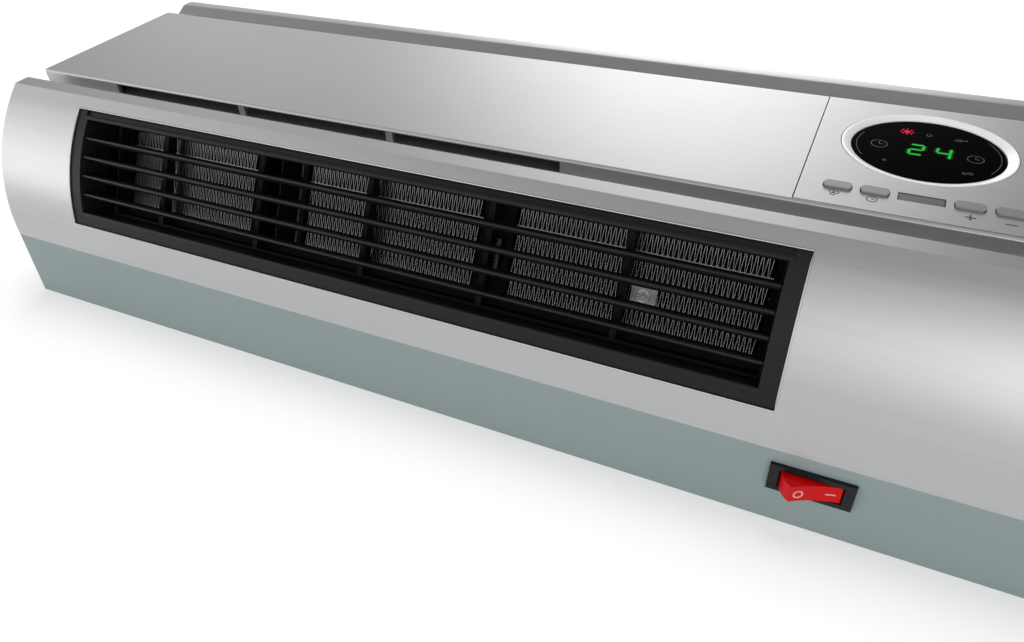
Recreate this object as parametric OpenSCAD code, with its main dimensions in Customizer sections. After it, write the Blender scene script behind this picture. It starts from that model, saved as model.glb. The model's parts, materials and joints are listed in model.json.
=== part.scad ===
// Wall-mounted fan heater: a tangential fan blows room air through a ceramic heating bank and
// out between four linked swinging blades in the curved lower front.
// Millimetres. +X runs right along the length as seen from the room, +Z is up on the wall.
// The wall is the plane y = 0, so the front faces -Y. The origin is the centre of the back.

/* [Casing] */
// Overall length
length = 520; // [490:1:550]
// Overall height
height = 177; // [168:1:190]
// Depth from the wall to the face of the front plate
depth = 112; // [106:0.5:120]
// Wall of the moulded shells
wall = 2.5; // [2.1:0.1:2.8]
// Depth of the front shell, from its joint with the rear casing to the face of the plate
front_depth = 74.5; // [73:0.5:76]
// Rise of the underside from the wall edge to the joint
draft_rise = 2.2; // [1.6:0.1:2.8]
// Gap between pieces that drop into each other
fit_gap = 0.3; // [0.2:0.05:0.4]

/* [Front] */
// Radius of the curved lower front
curve_r = 99; // [98:0.5:101]
// Distance from the face of the plate back to the centre of that curve
curve_setback = 76.9; // [76:0.1:77.5]
// Setback of the crease behind the front plate
crease_setback = 0.1; // [0.1:0.1:0.8]
// Height of the flat land between the crease and the groove
land_h = 8; // [6.5:0.5:8.5]
// Height of the groove under the plate
groove_h = 11; // [10:0.5:12]
// Depth of the groove
groove_depth = 7.5; // [7:0.1:8]
// Height of the groove above the plate
top_groove_h = 7.3; // [6:0.1:8]
// Height of the rail along the top
rail_h = 16.1; // [15:0.1:18]
// Setback of the foot of the top rail
rail_setback = 3.4; // [2.5:0.1:4]
// Radius of the top front corner
rail_r = 4; // [3:0.5:5]
// Wall of the plate and the control panel
plate_wall = 2.2; // [1.8:0.1:2.4]
// Bevel along the plate's long edges
plate_bevel = 0.9; // [0.5:0.1:1.2]
// Height of the strip of plate that runs on under the control panel
strip_h = 1.4; // [1:0.1:2]
// Length of one air slot in the plate's lower side
slot_len = 82.2; // [78:0.2:83]
// Number of air slots
slot_count = 3; // [2:1:3]
// Web between two air slots
slot_web = 3.8; // [3:0.2:5]
// Height of an air slot
slot_h = 4.9; // [4.5:0.1:5.2]
// Distance from the left end to the first slot
slot_x = 54.3; // [50:0.5:58]

/* [Outlet] */
// Distance from the left end to the outlet frame
frame_x = 52.3; // [50:0.5:54]
// Length of the closed end beyond the outlet frame, with the motor and the controls
end_len = 105.3; // [104:0.1:108]
// Width of the frame's left border
border_left = 6.5; // [6:0.25:7]
// Width of the frame's right border
border_right = 7; // [6.5:0.25:7.5]
// Height of the frame's upper border, along the curve
border_top = 5; // [4.5:0.25:5.5]
// Height of the frame's lower border, along the curve
border_bottom = 7.5; // [6.5:0.25:8]
// Height of the air opening, along the curve
opening_h = 48.3; // [48:0.1:48.8]
// Direction in which the outlet faces, in degrees from the wall side of horizontal
outlet_angle = 240; // [239:0.5:241]
// Setback of the frame's face below the shell
frame_setback = 0.6; // [0.4:0.1:0.9]
// Thickness of the frame's duct walls
duct_wall = 2.2; // [1.8:0.1:2.4]
// Number of swinging blades
blade_count = 4; // [4:1:4]
// Distance between the blades
blade_pitch = 9.6; // [9.2:0.1:9.8]
// Chord of a blade
blade_chord = 11; // [10:0.25:11.5]
// Reach of a blade's front edge beyond that chord
blade_nose = 1.4; // [1:0.1:1.6]
// Thickness of a blade
blade_t = 1.6; // [1.3:0.1:2]
// Tilt of the blades towards the room, in degrees from the outlet's direction
blade_tilt = -8.3; // [-11:0.1:-5]
// Radius of a blade's pivot pins
pivot_r = 1.5; // [1.3:0.1:1.7]
// Length of a blade's crank arm
crank_len = 8; // [7.5:0.1:8.4]
// Number of guard ribs behind the blades
rib_count = 5; // [4:1:5]
// Distance from the frame's left end to the first rib
rib_first = 47.7; // [46:0.1:50]
// Distance from the last rib to the frame's right end
rib_last = 67.9; // [66:0.1:70]
// Thickness of a guard rib
rib_t = 3; // [2:0.25:4]

/* [Heating bank] */
// Number of fin rows
row_count = 4; // [4:1:4]
// Height of one fin row
fin_h = 8.3; // [8:0.05:8.4]
// Depth of the fins along the air stream
fin_depth = 15; // [13:0.5:15.5]
// Distance over one fold of a fin
fin_fold = 2.2; // [2:0.1:2.6]
// Thickness of a ceramic heating stone
stone_t = 1.8; // [1.6:0.05:1.9]
// Thickness of a contact strip
strip_t = 0.4; // [0.3:0.05:0.5]

/* [Fan] */
// Radius of the fan drum as a share of the heater's depth
drum_share = 0.232; // [0.21:0.002:0.236]
// Number of drum blades
drum_blades = 26; // [20:1:30]
// Radius of the shafts
shaft_r = 3; // [2.5:0.1:3.2]
// Radius of the motor's rotor
rotor_r = 12.8; // [12:0.1:13.5]
// Length of the motor's core
core_len = 20; // [18:1:22]

/* [Controls] */
// Length of the control panel
panel_len = 118; // [112:0.5:122]
// Distance from the panel's left end to the middle of the window
window_x = 43.2; // [42:0.1:46]
// Width of the oval window
window_w = 57.5; // [54:0.5:59]
// Distance from the plate's lower edge to the ring around the window
window_low_gap = 27.5; // [26.5:0.1:29]
// Distance from that ring to the plate's upper edge
window_top_gap = 8.2; // [7:0.1:10]
// Width of the bright ring around the window
ring_w = 4.1; // [3.8:0.1:5]
// Length of a push button
button_len = 10; // [9.6:0.1:10.4]
// Height of a push button
button_h = 5; // [4.4:0.1:5.4]
// Radius of a push button's corners
button_r = 1.5; // [1:0.1:2]
// Travel of a push button
button_travel = 0.7; // [0.5:0.05:0.7]
// Length of the receiver window
receiver_len = 15.7; // [15:0.1:16.4]
// Length of the rocker switch's bezel
switch_len = 31.6; // [31:0.2:33]
// Width of the rocker switch's bezel
switch_w = 13; // [12.8:0.1:14]
// Throw of the rocker, in degrees
rocker_throw = 43; // [38:1:44]

/* [Fixings] */
// Distance between the two wall keyholes
keyhole_span = 300; // [280:1:310]
// Radius of a keyhole's entry
keyhole_r = 5; // [4.5:0.1:5.5]
// Width of a keyhole's slot
keyhole_slot = 4.6; // [4:0.1:4.8]
// Radius of the bore for the mains cable
cable_r = 3.6; // [3:0.1:4]
// Radius of a casing screw's thread
screw_r = 1.75; // [1.5:0.05:2]

/* [Hidden] */
$fn = 96;

silver = [0.78, 0.79, 0.80];
casing_green = [0.53, 0.60, 0.60];
frame_black = [0.10, 0.10, 0.11];
board_green = [0.10, 0.35, 0.20];
steel = [0.72, 0.73, 0.75];
copper = [0.72, 0.42, 0.22];

// Ends and heights of the casing
half_l = length / 2;
low_z = -height / 2;
top_z = height / 2;
casing_depth = depth - front_depth;
curve_y = depth - curve_setback;
draft_deg = atan(draft_rise / casing_depth);

// Centre of the front curve, and the heights that follow from it
curve_z = low_z + draft_rise + sqrt(pow(curve_r, 2) - pow(casing_depth - curve_y, 2));
crease_y = depth - crease_setback;
function curve_at(r, y) = curve_z - sqrt(pow(r, 2) - pow(y - curve_y, 2));
crease_z = curve_at(curve_r, crease_y);
land_z = crease_z + land_h;
plate_z = land_z + groove_h;
rail_z = top_z - rail_h;
plate_top_z = rail_z - top_groove_h;
plate_h = plate_top_z - plate_z;
floor_y = depth - groove_depth;
inner_floor_y = floor_y - wall;

// Top rail: the slope at its foot, the height of that slope and the start of its flat face
rail_ease = 0.4;
rail_slope_h = 5.5;
rail_face_h = 7.5;
inner_chamfer = 1.5;
margin = 9;

// Vents in the groove floor behind the plate, and the lap of the floor under the control panel
vent_count = 8;
vent_w = 5;
vent_pitch = slot_len / vent_count;
vent_z0 = plate_z + 12;
vent_z1 = plate_z + 60;
floor_lap = 5;
slot_setback = 1.6;

// Saddles in the rear casing that carry the scroll
saddle_inset = 50;
saddle_t = 3;
saddle_half = 12;
seat_gap = 0.3;

// Ends of the front plate, the panel and the outlet
panel_x = half_l - panel_len;
frame_x0 = -half_l + frame_x;
frame_x1 = half_l - end_len;
frame_len = frame_x1 - frame_x0;
open_x0 = frame_x0 + border_left;
open_x1 = frame_x1 - border_right;

// Outlet in its own frame: y outwards from the curve's centre, z along the curve
deg_per_mm = 180 / PI / curve_r;
open_half = curve_r * sin(opening_h / 2 * deg_per_mm);
frame_low_deg = -(opening_h / 2 + border_top) * deg_per_mm;
frame_high_deg = (opening_h / 2 + border_bottom) * deg_per_mm;
face_r = curve_r - frame_setback;
lip_r = 1.5;
lip_rise = 0.5;
lip_deg = (opening_h / 2 + lip_r - 0.3) * deg_per_mm;
channel_deep = 1.2;
channel_edge_deg = 0.3 * deg_per_mm;
channel_low_deg = -lip_deg - 0.8 * lip_r * deg_per_mm;
flange_t = 1.8;
flange_r = curve_r - wall - fit_gap;
flange_lap = 4;
duct_back = 77;

// Blades, their cranks and the link
blade_shift = 0.8;
blade_radius = 90.6;
function blade_z(i) = (i - (blade_count - 1) / 2) * blade_pitch + blade_shift;
function blade_y(i) = sqrt(pow(blade_radius, 2) - pow(blade_z(i), 2));
running_gap = 0.06;
link_t = 1.8;
arm_t = 2;
arm_x0 = open_x0 + 2 * fit_gap + link_t;
blade_x0 = arm_x0 + arm_t;
blade_x1 = open_x1 - 2 * fit_gap;
link_pin_r = 1.2;
link_w = 4.4;
blade_cut = 3;
driven_blade = 1;
socket_r = 2.4;
crank_z = -crank_len * sin(blade_tilt);
crank_y = -crank_len * cos(blade_tilt);

// Swing motor outside the frame's left end plate
swing_r = 11;
swing_len = 17;
swing_offset = 8;
swing_boss_r = 3.4;
swing_shaft_r = 1.25;

// Heating bank
layer_t = stone_t + 2 * strip_t;
row_pitch = fin_h + layer_t;
bank_z0 = -22.75;
bank_z1 = bank_z0 + row_count * fin_h + (row_count - 1) * layer_t;
bank_y1 = 75;
bank_y0 = bank_y1 - fin_depth;
function row_z(i) = bank_z0 + fin_h / 2 + i * row_pitch;
carrier_x0 = open_x0 + 8;
carrier_x1 = open_x1 - 1;
carrier_wall = 2;
carrier_y0 = 58;
bank_gap = 4;
bank_slack = 0.2;
strip_slack = 0.05;
// Breaks between the three banks, as shares of the frame's length
breaks = [0.2817, 0.3653, 0.625, 0.6675];
bank_ends = [[carrier_x0 + bank_gap, frame_x0 + breaks[0] * frame_len],
    [frame_x0 + breaks[1] * frame_len, frame_x0 + breaks[2] * frame_len],
    [frame_x0 + breaks[3] * frame_len, carrier_x1 - bank_gap]];
foil_t = 0.3;
terminal_inset = [12.2, 5.7];
terminal_x = [bank_ends[0][1] + terminal_inset[0], bank_ends[1][0] - terminal_inset[1]];
terminal_h = 6.4;
terminal_t = 0.8;
recess_gap = 3;
fuse_r = 1.6;
fuse_len = 14;
fuse_pocket = 4;

// Fan in the outlet's frame, and in the row's frame
fan_y = 22;
drum_r = drum_share * depth;
scroll_r = drum_r + 5;
scroll_t = 2;
scroll_deg = 55;
scroll_end_deg = 205;
end_plate_r = scroll_r + scroll_t + 1.5;
axis_y = -curve_y + fan_y * cos(outlet_angle);
axis_z = curve_z + fan_y * sin(outlet_angle);
drum_gap = [6, 7.9];
drum_x0 = carrier_x0 + drum_gap[0];
drum_x1 = carrier_x1 - drum_gap[1];
drum_len = drum_x1 - drum_x0;
disc_t = 2;
drum_blade_depth = 6;
drum_camber_deg = 11;
drum_blade_deg = 2;
drum_cells = 5;
hub_len = 8;
hub_r = 7;
shaft_gap = 0.05;
bush_r = 5;
mount_r = 11;

// Fan motor beside the scroll's right end plate
bracket_t = 1.6;
leg_len = 9;
core_x0 = carrier_x1 + bracket_t + leg_len;
core_x1 = core_x0 + core_len;
core_half = 20;
core_drop = 18;
core_rise = 40;
limb_h = 10;
coil_half = 13;
coil_wall = 6;
coil_gap = 0.2;
air_gap = 0.5;
shaft_end = 4;
motor_screw_r = 1.5;

// Controls
panel_mid_x = panel_x + window_x;
window_h = plate_h - window_low_gap - window_top_gap - 2 * ring_w;
window_z = plate_z + window_low_gap + ring_w + window_h / 2;
button_rise = 15.7;
button_z = plate_z + button_rise;
board_y = floor_y - 3;
board_t = 1.6;
button_lift = 0.9;
button_flange = 1.2;
button_lap = 1;
button_gap = 0.1;
stem_r = 2;
button_x = [-28.9, -15.6, 16.6, 29.9];
receiver_h = 5.2;
receiver_x = 0.5;
ring_lift = 0.2;
ring_rim = 0.8;
ring_steps = 4;
ring_back = depth - plate_wall;
ring_flange = 1;
ring_lap = 1.2;
window_setback = 1;
window_drop = 0.1;
lens_t = 1.4;
lens_lap = 1.5;
digits_len = 26;
digits_h = 14;

// Rocker switch in the underside
switch_end_gap = 86.25;
switch_x = half_l - switch_end_gap;
switch_joint_gap = 12.55;
switch_y = casing_depth - switch_joint_gap;
switch_z = low_z + draft_rise * switch_y / casing_depth;
bezel_t = 1.8;
switch_body_len = switch_len - 4.4;
switch_body_w = switch_w - 2.2;
switch_deep = 20;
rocker_r = 11.6;
rocker_w = 8;
rocker_axle = 1.4;
rocker_pin_r = 1.1;
rocker_tip_deg = 34.6;
rocker_foot_deg = -14;
rocker_foot_x = 3;
rocker_foot_z = 5;
rocker_dish = 1;
rocker_steps = 12;
terminal_pitch = 8;
blade_terminal_w = 4.8;
blade_terminal_t = 0.8;
blade_terminal_out = 8;

// Intake in the top and the filter under it
intake_x0 = -half_l + 55;
intake_x1 = panel_x - 20;
intake_y0 = casing_depth + 12;
intake_y1 = depth - 14;
intake_bars = 54;
filter_t = 2;

// Fixings
keyhole_drop = 37;
keyhole_z = top_z - keyhole_drop;
keyhole_rise = 9;
inlet_y = casing_depth / 2;
inlet_z = low_z + 42;
bushing_r = cable_r + 2.9;
bushing_len = 12;
bushing_lip = 2;
nut_t = 4;
nut_wall = 6.4;
boss_r = 4.5;
boss_inset = wall + boss_r - 1;
boss_len = 22;
post_len = 9.5;
power_y = wall + post_len;
power_len = 56;
power_h = 51;
power_rise = 78;
power_gap = 6;
power_x0 = core_x1 + leg_len + bracket_t + power_gap;
power_x1 = power_x0 + power_len;
power_z0 = low_z + power_rise;
power_z1 = power_z0 + power_h;
board_inset = 4.5;
small_screw_r = 1.2;

// A flat shape of (y, z) points drawn out along X from x0 to x1
module along_x(x0, x1) {
    translate([x0, 0, 0]) rotate([90, 0, 90]) linear_extrude(x1 - x0) children();
}

// A box between two corners
module block(x0, x1, y0, y1, z0, z1) {
    translate([x0, y0, z0]) cube([x1 - x0, y1 - y0, z1 - z0]);
}

// A round bar along X
module bar_x(x0, x1, r) {
    translate([x0, 0, 0]) rotate([0, 90, 0]) cylinder(h = x1 - x0, r = r);
}

// A round bar along Y, from y0 to y1
module bar_y(y0, y1, r) {
    translate([0, y0, 0]) rotate([-90, 0, 0]) cylinder(h = y1 - y0, r = r);
}

// The outlet's frame: y points out of the curve, z along it
module at_outlet() {
    translate([0, -curve_y, curve_z]) rotate([outlet_angle, 0, 0]) children();
}

// The fan's axis, in the row's directions
module at_fan() {
    translate([0, axis_y, axis_z]) children();
}

// A ring sector between two radii and two angles
module sector(r0, r1, a0, a1) {
    reach = 2 * r1;
    mid = (a0 + a1) / 2;
    intersection() {
        difference() {
            circle(r1);
            circle(r0);
        }
        polygon([[0, 0], for (a = [a0, mid, a1]) reach * [cos(a), sin(a)]]);
    }
}

// Points of an oval of half axes a and b
function oval(a, b, n = 72) = [for (i = [0:n - 1]) [a * cos(i * 360 / n), b * sin(i * 360 / n)]];

// The window's oval, grown by a margin, between two depths
module oval_plate(grow, y0, y1) {
    translate([panel_mid_x, -y0, window_z]) rotate([90, 0, 0]) linear_extrude(y1 - y0)
        polygon(oval(window_w / 2 + grow, window_h / 2 + grow));
}

// A button's outline with round corners, grown by a margin, between two depths
module button_plate(grow, y0, y1) {
    rotate([90, 0, 0]) translate([0, 0, y0]) linear_extrude(y1 - y0) {
        square([button_len - 2 * button_r, button_h + 2 * grow], center = true);
        square([button_len + 2 * grow, button_h - 2 * button_r], center = true);
        for (u = [-1, 1]) for (v = [-1, 1])
            translate([u * (button_len / 2 - button_r), v * (button_h / 2 - button_r)])
                circle(button_r + grow);
    }
}

// What lies outside a circle of radius r about the curve's centre, below a height
module outside_curve(r, below_z) {
    difference() {
        translate([-depth - margin, low_z - margin]) square([depth - casing_depth + 2 * margin,
            below_z - low_z + margin]);
        translate([-curve_y, curve_z]) circle(r);
    }
}

// Section of the front shell: the land, the groove floor, the top rail and the curve
module front_outline() difference() {
    polygon([[-casing_depth, low_z], [-crease_y, low_z], [-crease_y, crease_z], [-depth, land_z],
        [-floor_y, land_z], [-floor_y, rail_z], [-depth + rail_setback, rail_z],
        [-depth + rail_ease, rail_z + rail_slope_h], [-depth, rail_z + rail_face_h], [-depth, top_z],
        [-casing_depth, top_z]]);
    outside_curve(curve_r, crease_z);
    difference() {
        translate([-depth - margin, top_z - rail_r]) square([rail_r + margin, rail_r + margin]);
        translate([-depth + rail_r, top_z - rail_r]) circle(rail_r);
    }
}

// The hollow inside that section, open to the rear
module front_hollow() difference() {
    inner_crease_y = crease_y - wall;
    inner_crease_z = curve_at(curve_r - wall, inner_crease_y);
    inner_top = top_z - wall;
    polygon([[-casing_depth + 1, low_z], [-inner_crease_y, low_z], [-inner_crease_y, land_z - wall],
        [-inner_floor_y, land_z - wall], [-inner_floor_y, rail_z + wall],
        [-depth + rail_setback + wall, rail_z + wall], [-depth + wall, rail_z + 2 * wall],
        [-depth + wall, inner_top - inner_chamfer], [-depth + wall + inner_chamfer, inner_top],
        [-casing_depth + 1, inner_top]]);
    outside_curve(curve_r - wall, inner_crease_z);
    translate([-casing_depth - 0.5, low_z - margin])
        square([margin, curve_at(curve_r - wall, casing_depth) - low_z + margin]);
}

// Places of the four casing screws, as x and z
screw_places = [for (sx = [-1, 1]) for (z = [low_z + 24, top_z - 13]) [sx * (half_l - boss_inset), z]];

// A keyhole cut: a round entry and a slot above it
module keyhole() {
    bar_y(-wall - 1, 1, keyhole_r);
    block(-keyhole_slot / 2, keyhole_slot / 2, -wall - 1, 1, 0, keyhole_rise);
    translate([0, 0, keyhole_rise]) bar_y(-wall - 1, 1, keyhole_slot / 2);
}

module rear_casing() color(casing_green) {
    difference() {
        along_x(-half_l, half_l) polygon([[0, low_z], [0, top_z], [-casing_depth, top_z],
            [-casing_depth, low_z + draft_rise]]);
        difference() {
            along_x(-half_l + wall, half_l - wall) polygon([[-wall, low_z + wall], [-wall, top_z - wall],
                [-casing_depth - 1, top_z - wall], [-casing_depth - 1, low_z + draft_rise + wall]]);
            for (p = screw_places) translate([p[0], 0, p[1]]) bar_y(-casing_depth, 0, boss_r);
            for (x = [power_x0 + board_inset, power_x1 - board_inset])
                for (z = [power_z0 + board_inset, power_z1 - board_inset])
                    translate([x, 0, z]) bar_y(-power_y, 0, 3);
            // Two saddles that carry the scroll
            for (x = [carrier_x0 + saddle_inset, carrier_x1 - saddle_inset])
                block(x, x + saddle_t, axis_y + scroll_r + scroll_t + seat_gap, 0, axis_z - saddle_half,
                    axis_z + saddle_half);
        }
        for (p = screw_places) translate([p[0], 0, p[1]]) {
            bar_y(-casing_depth - 1, 1, screw_r + fit_gap);
            bar_y(-casing_depth + 8, 1, screw_r * 2);
        }
        for (x = [power_x0 + board_inset, power_x1 - board_inset])
            for (z = [power_z0 + board_inset, power_z1 - board_inset])
                translate([x, 0, z]) bar_y(-power_y - 1, -power_y + 7, small_screw_r);
        for (sx = [-1, 1]) translate([sx * keyhole_span / 2, 0, keyhole_z]) keyhole();
        translate([0, -inlet_y, inlet_z]) bar_x(half_l - 2 * wall, half_l + 1, bushing_r + fit_gap);
        at_switch() block(-switch_body_len / 2 - fit_gap, switch_body_len / 2 + fit_gap,
            -switch_body_w / 2 - fit_gap, switch_body_w / 2 + fit_gap, -4, 9);
    }
}

module front_shell() color(silver) {
    difference() {
        along_x(-half_l, half_l) front_outline();
        difference() {
            along_x(-half_l + wall, half_l - wall) front_hollow();
            for (p = screw_places) translate([p[0], 0, p[1]])
                bar_y(-casing_depth - boss_len, -casing_depth, boss_r);
        }
        for (p = screw_places) translate([p[0], 0, p[1]])
            bar_y(-casing_depth - boss_len + 2, -casing_depth + 1, screw_r);
        at_outlet() along_x(frame_x0 - fit_gap, frame_x1 + fit_gap)
            sector(curve_r - 10, curve_r + 10, frame_low_deg - fit_gap * deg_per_mm,
                frame_high_deg + fit_gap * deg_per_mm);
        // Air slots behind the plate
        for (i = [0:slot_count - 1]) for (j = [0:vent_count - 1]) {
            vent_x = slot_start(i) + (j + 0.5) * vent_pitch;
            block(vent_x - vent_w / 2, vent_x + vent_w / 2, -floor_y - 1, -inner_floor_y + 1, vent_z0,
                vent_z1);
        }
        // Opening behind the control panel
        block(panel_x + floor_lap, half_l - wall - floor_lap, -floor_y - 1, -inner_floor_y + 1,
            plate_z + floor_lap, plate_top_z - floor_lap);
        // Opening for the intake grille
        block(intake_x0 - fit_gap, intake_x1 + fit_gap, -intake_y1 - fit_gap, -intake_y0 + fit_gap,
            top_z - wall - 1, top_z + 1);
    }
}

function slot_start(i) = -half_l + slot_x + i * (slot_len + slot_web);

module front_plate() color(silver) difference() {
    along_x(-half_l, half_l) polygon([[-floor_y, plate_z], [-depth + plate_bevel, plate_z],
        [-depth, plate_z + plate_bevel], [-depth, plate_top_z - plate_bevel],
        [-depth + plate_bevel, plate_top_z], [-floor_y, plate_top_z]]);
    block(-half_l + plate_wall, panel_x - plate_wall, -depth + plate_wall, 0, plate_z + plate_wall,
        plate_top_z - plate_wall);
    block(panel_x, half_l + 1, -depth - 1, 0, plate_z + strip_h, plate_top_z + 1);
    for (i = [0:slot_count - 1]) block(slot_start(i), slot_start(i) + slot_len, -depth + slot_setback,
        -depth + slot_setback + slot_h, plate_z - 1, plate_z + plate_wall + 1);
}

module control_panel() color(silver) difference() {
    px0 = panel_x + fit_gap;
    pz0 = plate_z + strip_h + fit_gap;
    union() {
        difference() {
            along_x(px0, half_l) polygon([[-floor_y, pz0], [-depth, pz0], [-depth, plate_top_z - plate_bevel],
                [-depth + plate_bevel, plate_top_z], [-floor_y, plate_top_z]]);
            block(px0 + plate_wall, half_l - plate_wall, -depth + plate_wall, 0, pz0 + plate_wall,
                plate_top_z - plate_wall);
        }
        for (p = board_places) translate([p[0], 0, p[1]]) bar_y(-depth + 1, -board_y - board_t, post_r);
    }
    for (p = board_places) translate([p[0], 0, p[1]]) bar_y(-depth + 1.5, 0, small_screw_r - 0.05);
    oval_plate(ring_w + fit_gap, floor_y, depth + 1);
    for (x = button_x) translate([panel_mid_x + x, 0, button_z])
        button_plate(fit_gap, floor_y, depth + 1);
    translate([panel_mid_x + receiver_x, 0, button_z])
        block(-receiver_len / 2 - fit_gap, receiver_len / 2 + fit_gap, -depth - 1, -floor_y,
            -receiver_h / 2 - fit_gap, receiver_h / 2 + fit_gap);
}

// The ring around the window, sloping down to it in steps, with a flange behind the panel
module display_ring() color([0.93, 0.93, 0.94]) difference() {
    union() {
        oval_plate(ring_w, ring_back, depth + ring_lift);
        oval_plate(ring_w + ring_lap, ring_back - ring_flange, ring_back);
    }
    oval_plate(fit_gap, ring_back - ring_flange - 1, depth + 1);
    for (i = [1:ring_steps]) oval_plate((ring_w - ring_rim) * i / ring_steps,
        depth + ring_lift - (window_setback + ring_lift) * (ring_steps - i + 1) / ring_steps, depth + 1);
}

module display_window() color([0.02, 0.02, 0.02]) union() {
    oval_plate(0, ring_back - ring_flange, depth - window_setback - window_drop);
    oval_plate(lens_lap, ring_back - ring_flange - lens_t, ring_back - ring_flange);
}

module receiver_window() color([0.38, 0.36, 0.37]) translate([panel_mid_x + receiver_x, 0, button_z]) {
    lip = 1;
    block(-receiver_len / 2, receiver_len / 2, -depth + 0.3, -depth + plate_wall, -receiver_h / 2,
        receiver_h / 2);
    block(-receiver_len / 2 - lip, receiver_len / 2 + lip, -depth + plate_wall, -depth + plate_wall + lip,
        -receiver_h / 2 - lip, receiver_h / 2 + lip);
}

// A push button: the cap, a flange behind the panel and a stem over its switch
module push_button(i) color([0.55, 0.55, 0.56]) translate([panel_mid_x + button_x[i], 0, button_z]) {
    flange_y = depth - plate_wall - button_gap;
    button_plate(0, flange_y, depth + button_lift);
    button_plate(button_lap, flange_y - button_flange, flange_y);
    bar_y(-flange_y + button_flange, -switch_top - button_travel - button_gap, stem_r);
}
module heat_button() push_button(0);
module timer_button() push_button(1);
module plus_button() push_button(2);
module minus_button() push_button(3);

board_face = board_y + board_t;
switch_top = board_face + 4.3;
board_x0 = panel_x + floor_lap + 2;
board_x1 = half_l - wall - floor_lap - 1;
board_z0 = plate_z + 7.3;
board_z1 = plate_top_z - 8;
post_r = 2.4;
post_inset = 3.2;
lower_post_z = button_z + button_h / 2 + post_r + 4.5;
board_places = [for (x = [board_x0 + post_inset, board_x1 - post_inset]) for (z = [lower_post_z,
    board_z1 - post_inset]) [x, z]];

module control_board() color(board_green) difference() {
    block(board_x0, board_x1, -board_y - board_t, -board_y, board_z0, board_z1);
    for (p = board_places) translate([p[0], 0, p[1]]) bar_y(-board_y - 5, -board_y + 1, small_screw_r + 0.2);
}

module button_switches() color([0.15, 0.15, 0.16]) for (x = button_x)
    translate([panel_mid_x + x, 0, button_z]) {
        block(-3, 3, -board_face - 3.5, -board_face, -3, 3);
        bar_y(-switch_top, -board_face - 3.5, 1.75);
    }

module digit_display() color([0.12, 0.12, 0.12])
    block(panel_mid_x - digits_len / 2, panel_mid_x + digits_len / 2,
        -ring_back + ring_flange + lens_t + fit_gap, -board_face, window_z - digits_h / 2,
        window_z + digits_h / 2);

module infrared_receiver() color([0.08, 0.08, 0.1]) translate([panel_mid_x + receiver_x, 0, button_z]) {
    block(-2.8, 2.8, -board_face - 3, -board_face, -3, 3.5);
    bar_y(-board_face - 4.6, -board_face - 3, 1.8);
}

module outlet_frame() color(frame_black) at_outlet() difference() {
    union() {
        // Face in the shell's opening and the flange behind it
        along_x(frame_x0, frame_x1) sector(flange_r - flange_t, face_r, frame_low_deg, frame_high_deg);
        along_x(frame_x0 - flange_lap, frame_x1 + flange_lap) sector(flange_r - flange_t, flange_r,
            frame_low_deg - flange_lap * deg_per_mm, frame_high_deg + flange_lap * deg_per_mm);
        // Rounded lips above and below the opening
        for (s = [-1, 1]) along_x(open_x0 - lip_r, open_x1 + lip_r)
            rotate(s * lip_deg) translate([face_r + lip_rise - lip_r, 0]) circle(lip_r);
        // Duct walls down to the heater
        intersection() {
            block(open_x0 - duct_wall, open_x1 + duct_wall, duct_back, curve_r, -open_half - duct_wall,
                open_half + duct_wall);
            bar_x(open_x0 - duct_wall - 1, open_x1 + duct_wall + 1, flange_r - flange_t / 2);
        }
    }
    block(open_x0, open_x1, duct_back - 1, curve_r + 5, -open_half, open_half);
    // Channel between the shell and the upper lip
    along_x(open_x0 - lip_r, open_x1 + lip_r)
        sector(face_r - channel_deep, face_r + 1, frame_low_deg + channel_edge_deg, channel_low_deg);
    for (i = [0:blade_count - 1]) translate([0, blade_y(i), blade_z(i)]) {
        bar_x(open_x0 - duct_wall - 1, open_x0 + 1, i == driven_blade ? socket_r + running_gap
            : pivot_r + running_gap);
        bar_x(open_x1 - 1, open_x1 + duct_wall + 1, pivot_r + running_gap);
    }
}

// Section of a blade, which reaches back from its pivot by a length
module blade_outline(back) {
    front = blade_chord / 2 + blade_nose;
    translate([blade_t / 2 - back, -blade_t / 2]) square([front + back - blade_t, blade_t]);
    translate([blade_t / 2 - back, 0]) circle(blade_t / 2);
    translate([front - blade_t / 2, 0]) circle(blade_t / 2);
}

// A blade with its pivots and the crank arm at its left end
module swing_blade(i) color([0.22, 0.22, 0.24]) at_outlet() translate([0, blade_y(i), blade_z(i)])
    rotate([blade_tilt, 0, 0]) difference() {
        union() {
            along_x(blade_x0, blade_x1) {
                blade_outline(blade_chord / 2);
                circle(pivot_r + 0.3);
            }
            // In front of the cranks only the front of the blade runs on
            along_x(open_x0 + fit_gap, blade_x0) blade_outline(blade_cut);
            bar_x(blade_x1, open_x1 + duct_wall, pivot_r);
            bar_x(open_x0 - duct_wall, arm_x0, i == driven_blade ? socket_r : pivot_r);
            // Crank arm and the pin that carries the link
            along_x(arm_x0, blade_x0) {
                translate([-crank_len / 2, 0]) square([crank_len, 3.2], center = true);
                circle(socket_r);
                translate([-crank_len, 0]) circle(1.9);
            }
            translate([0, -crank_len, 0]) bar_x(open_x0 + fit_gap, arm_x0, link_pin_r);
        }
        if (i == driven_blade) bar_x(open_x0 - duct_wall - 1, open_x0 + 1, swing_shaft_r + shaft_gap);
    }
module blade_1() swing_blade(0);
module blade_2() swing_blade(1);
module blade_3() swing_blade(2);
module blade_4() swing_blade(3);

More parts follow.
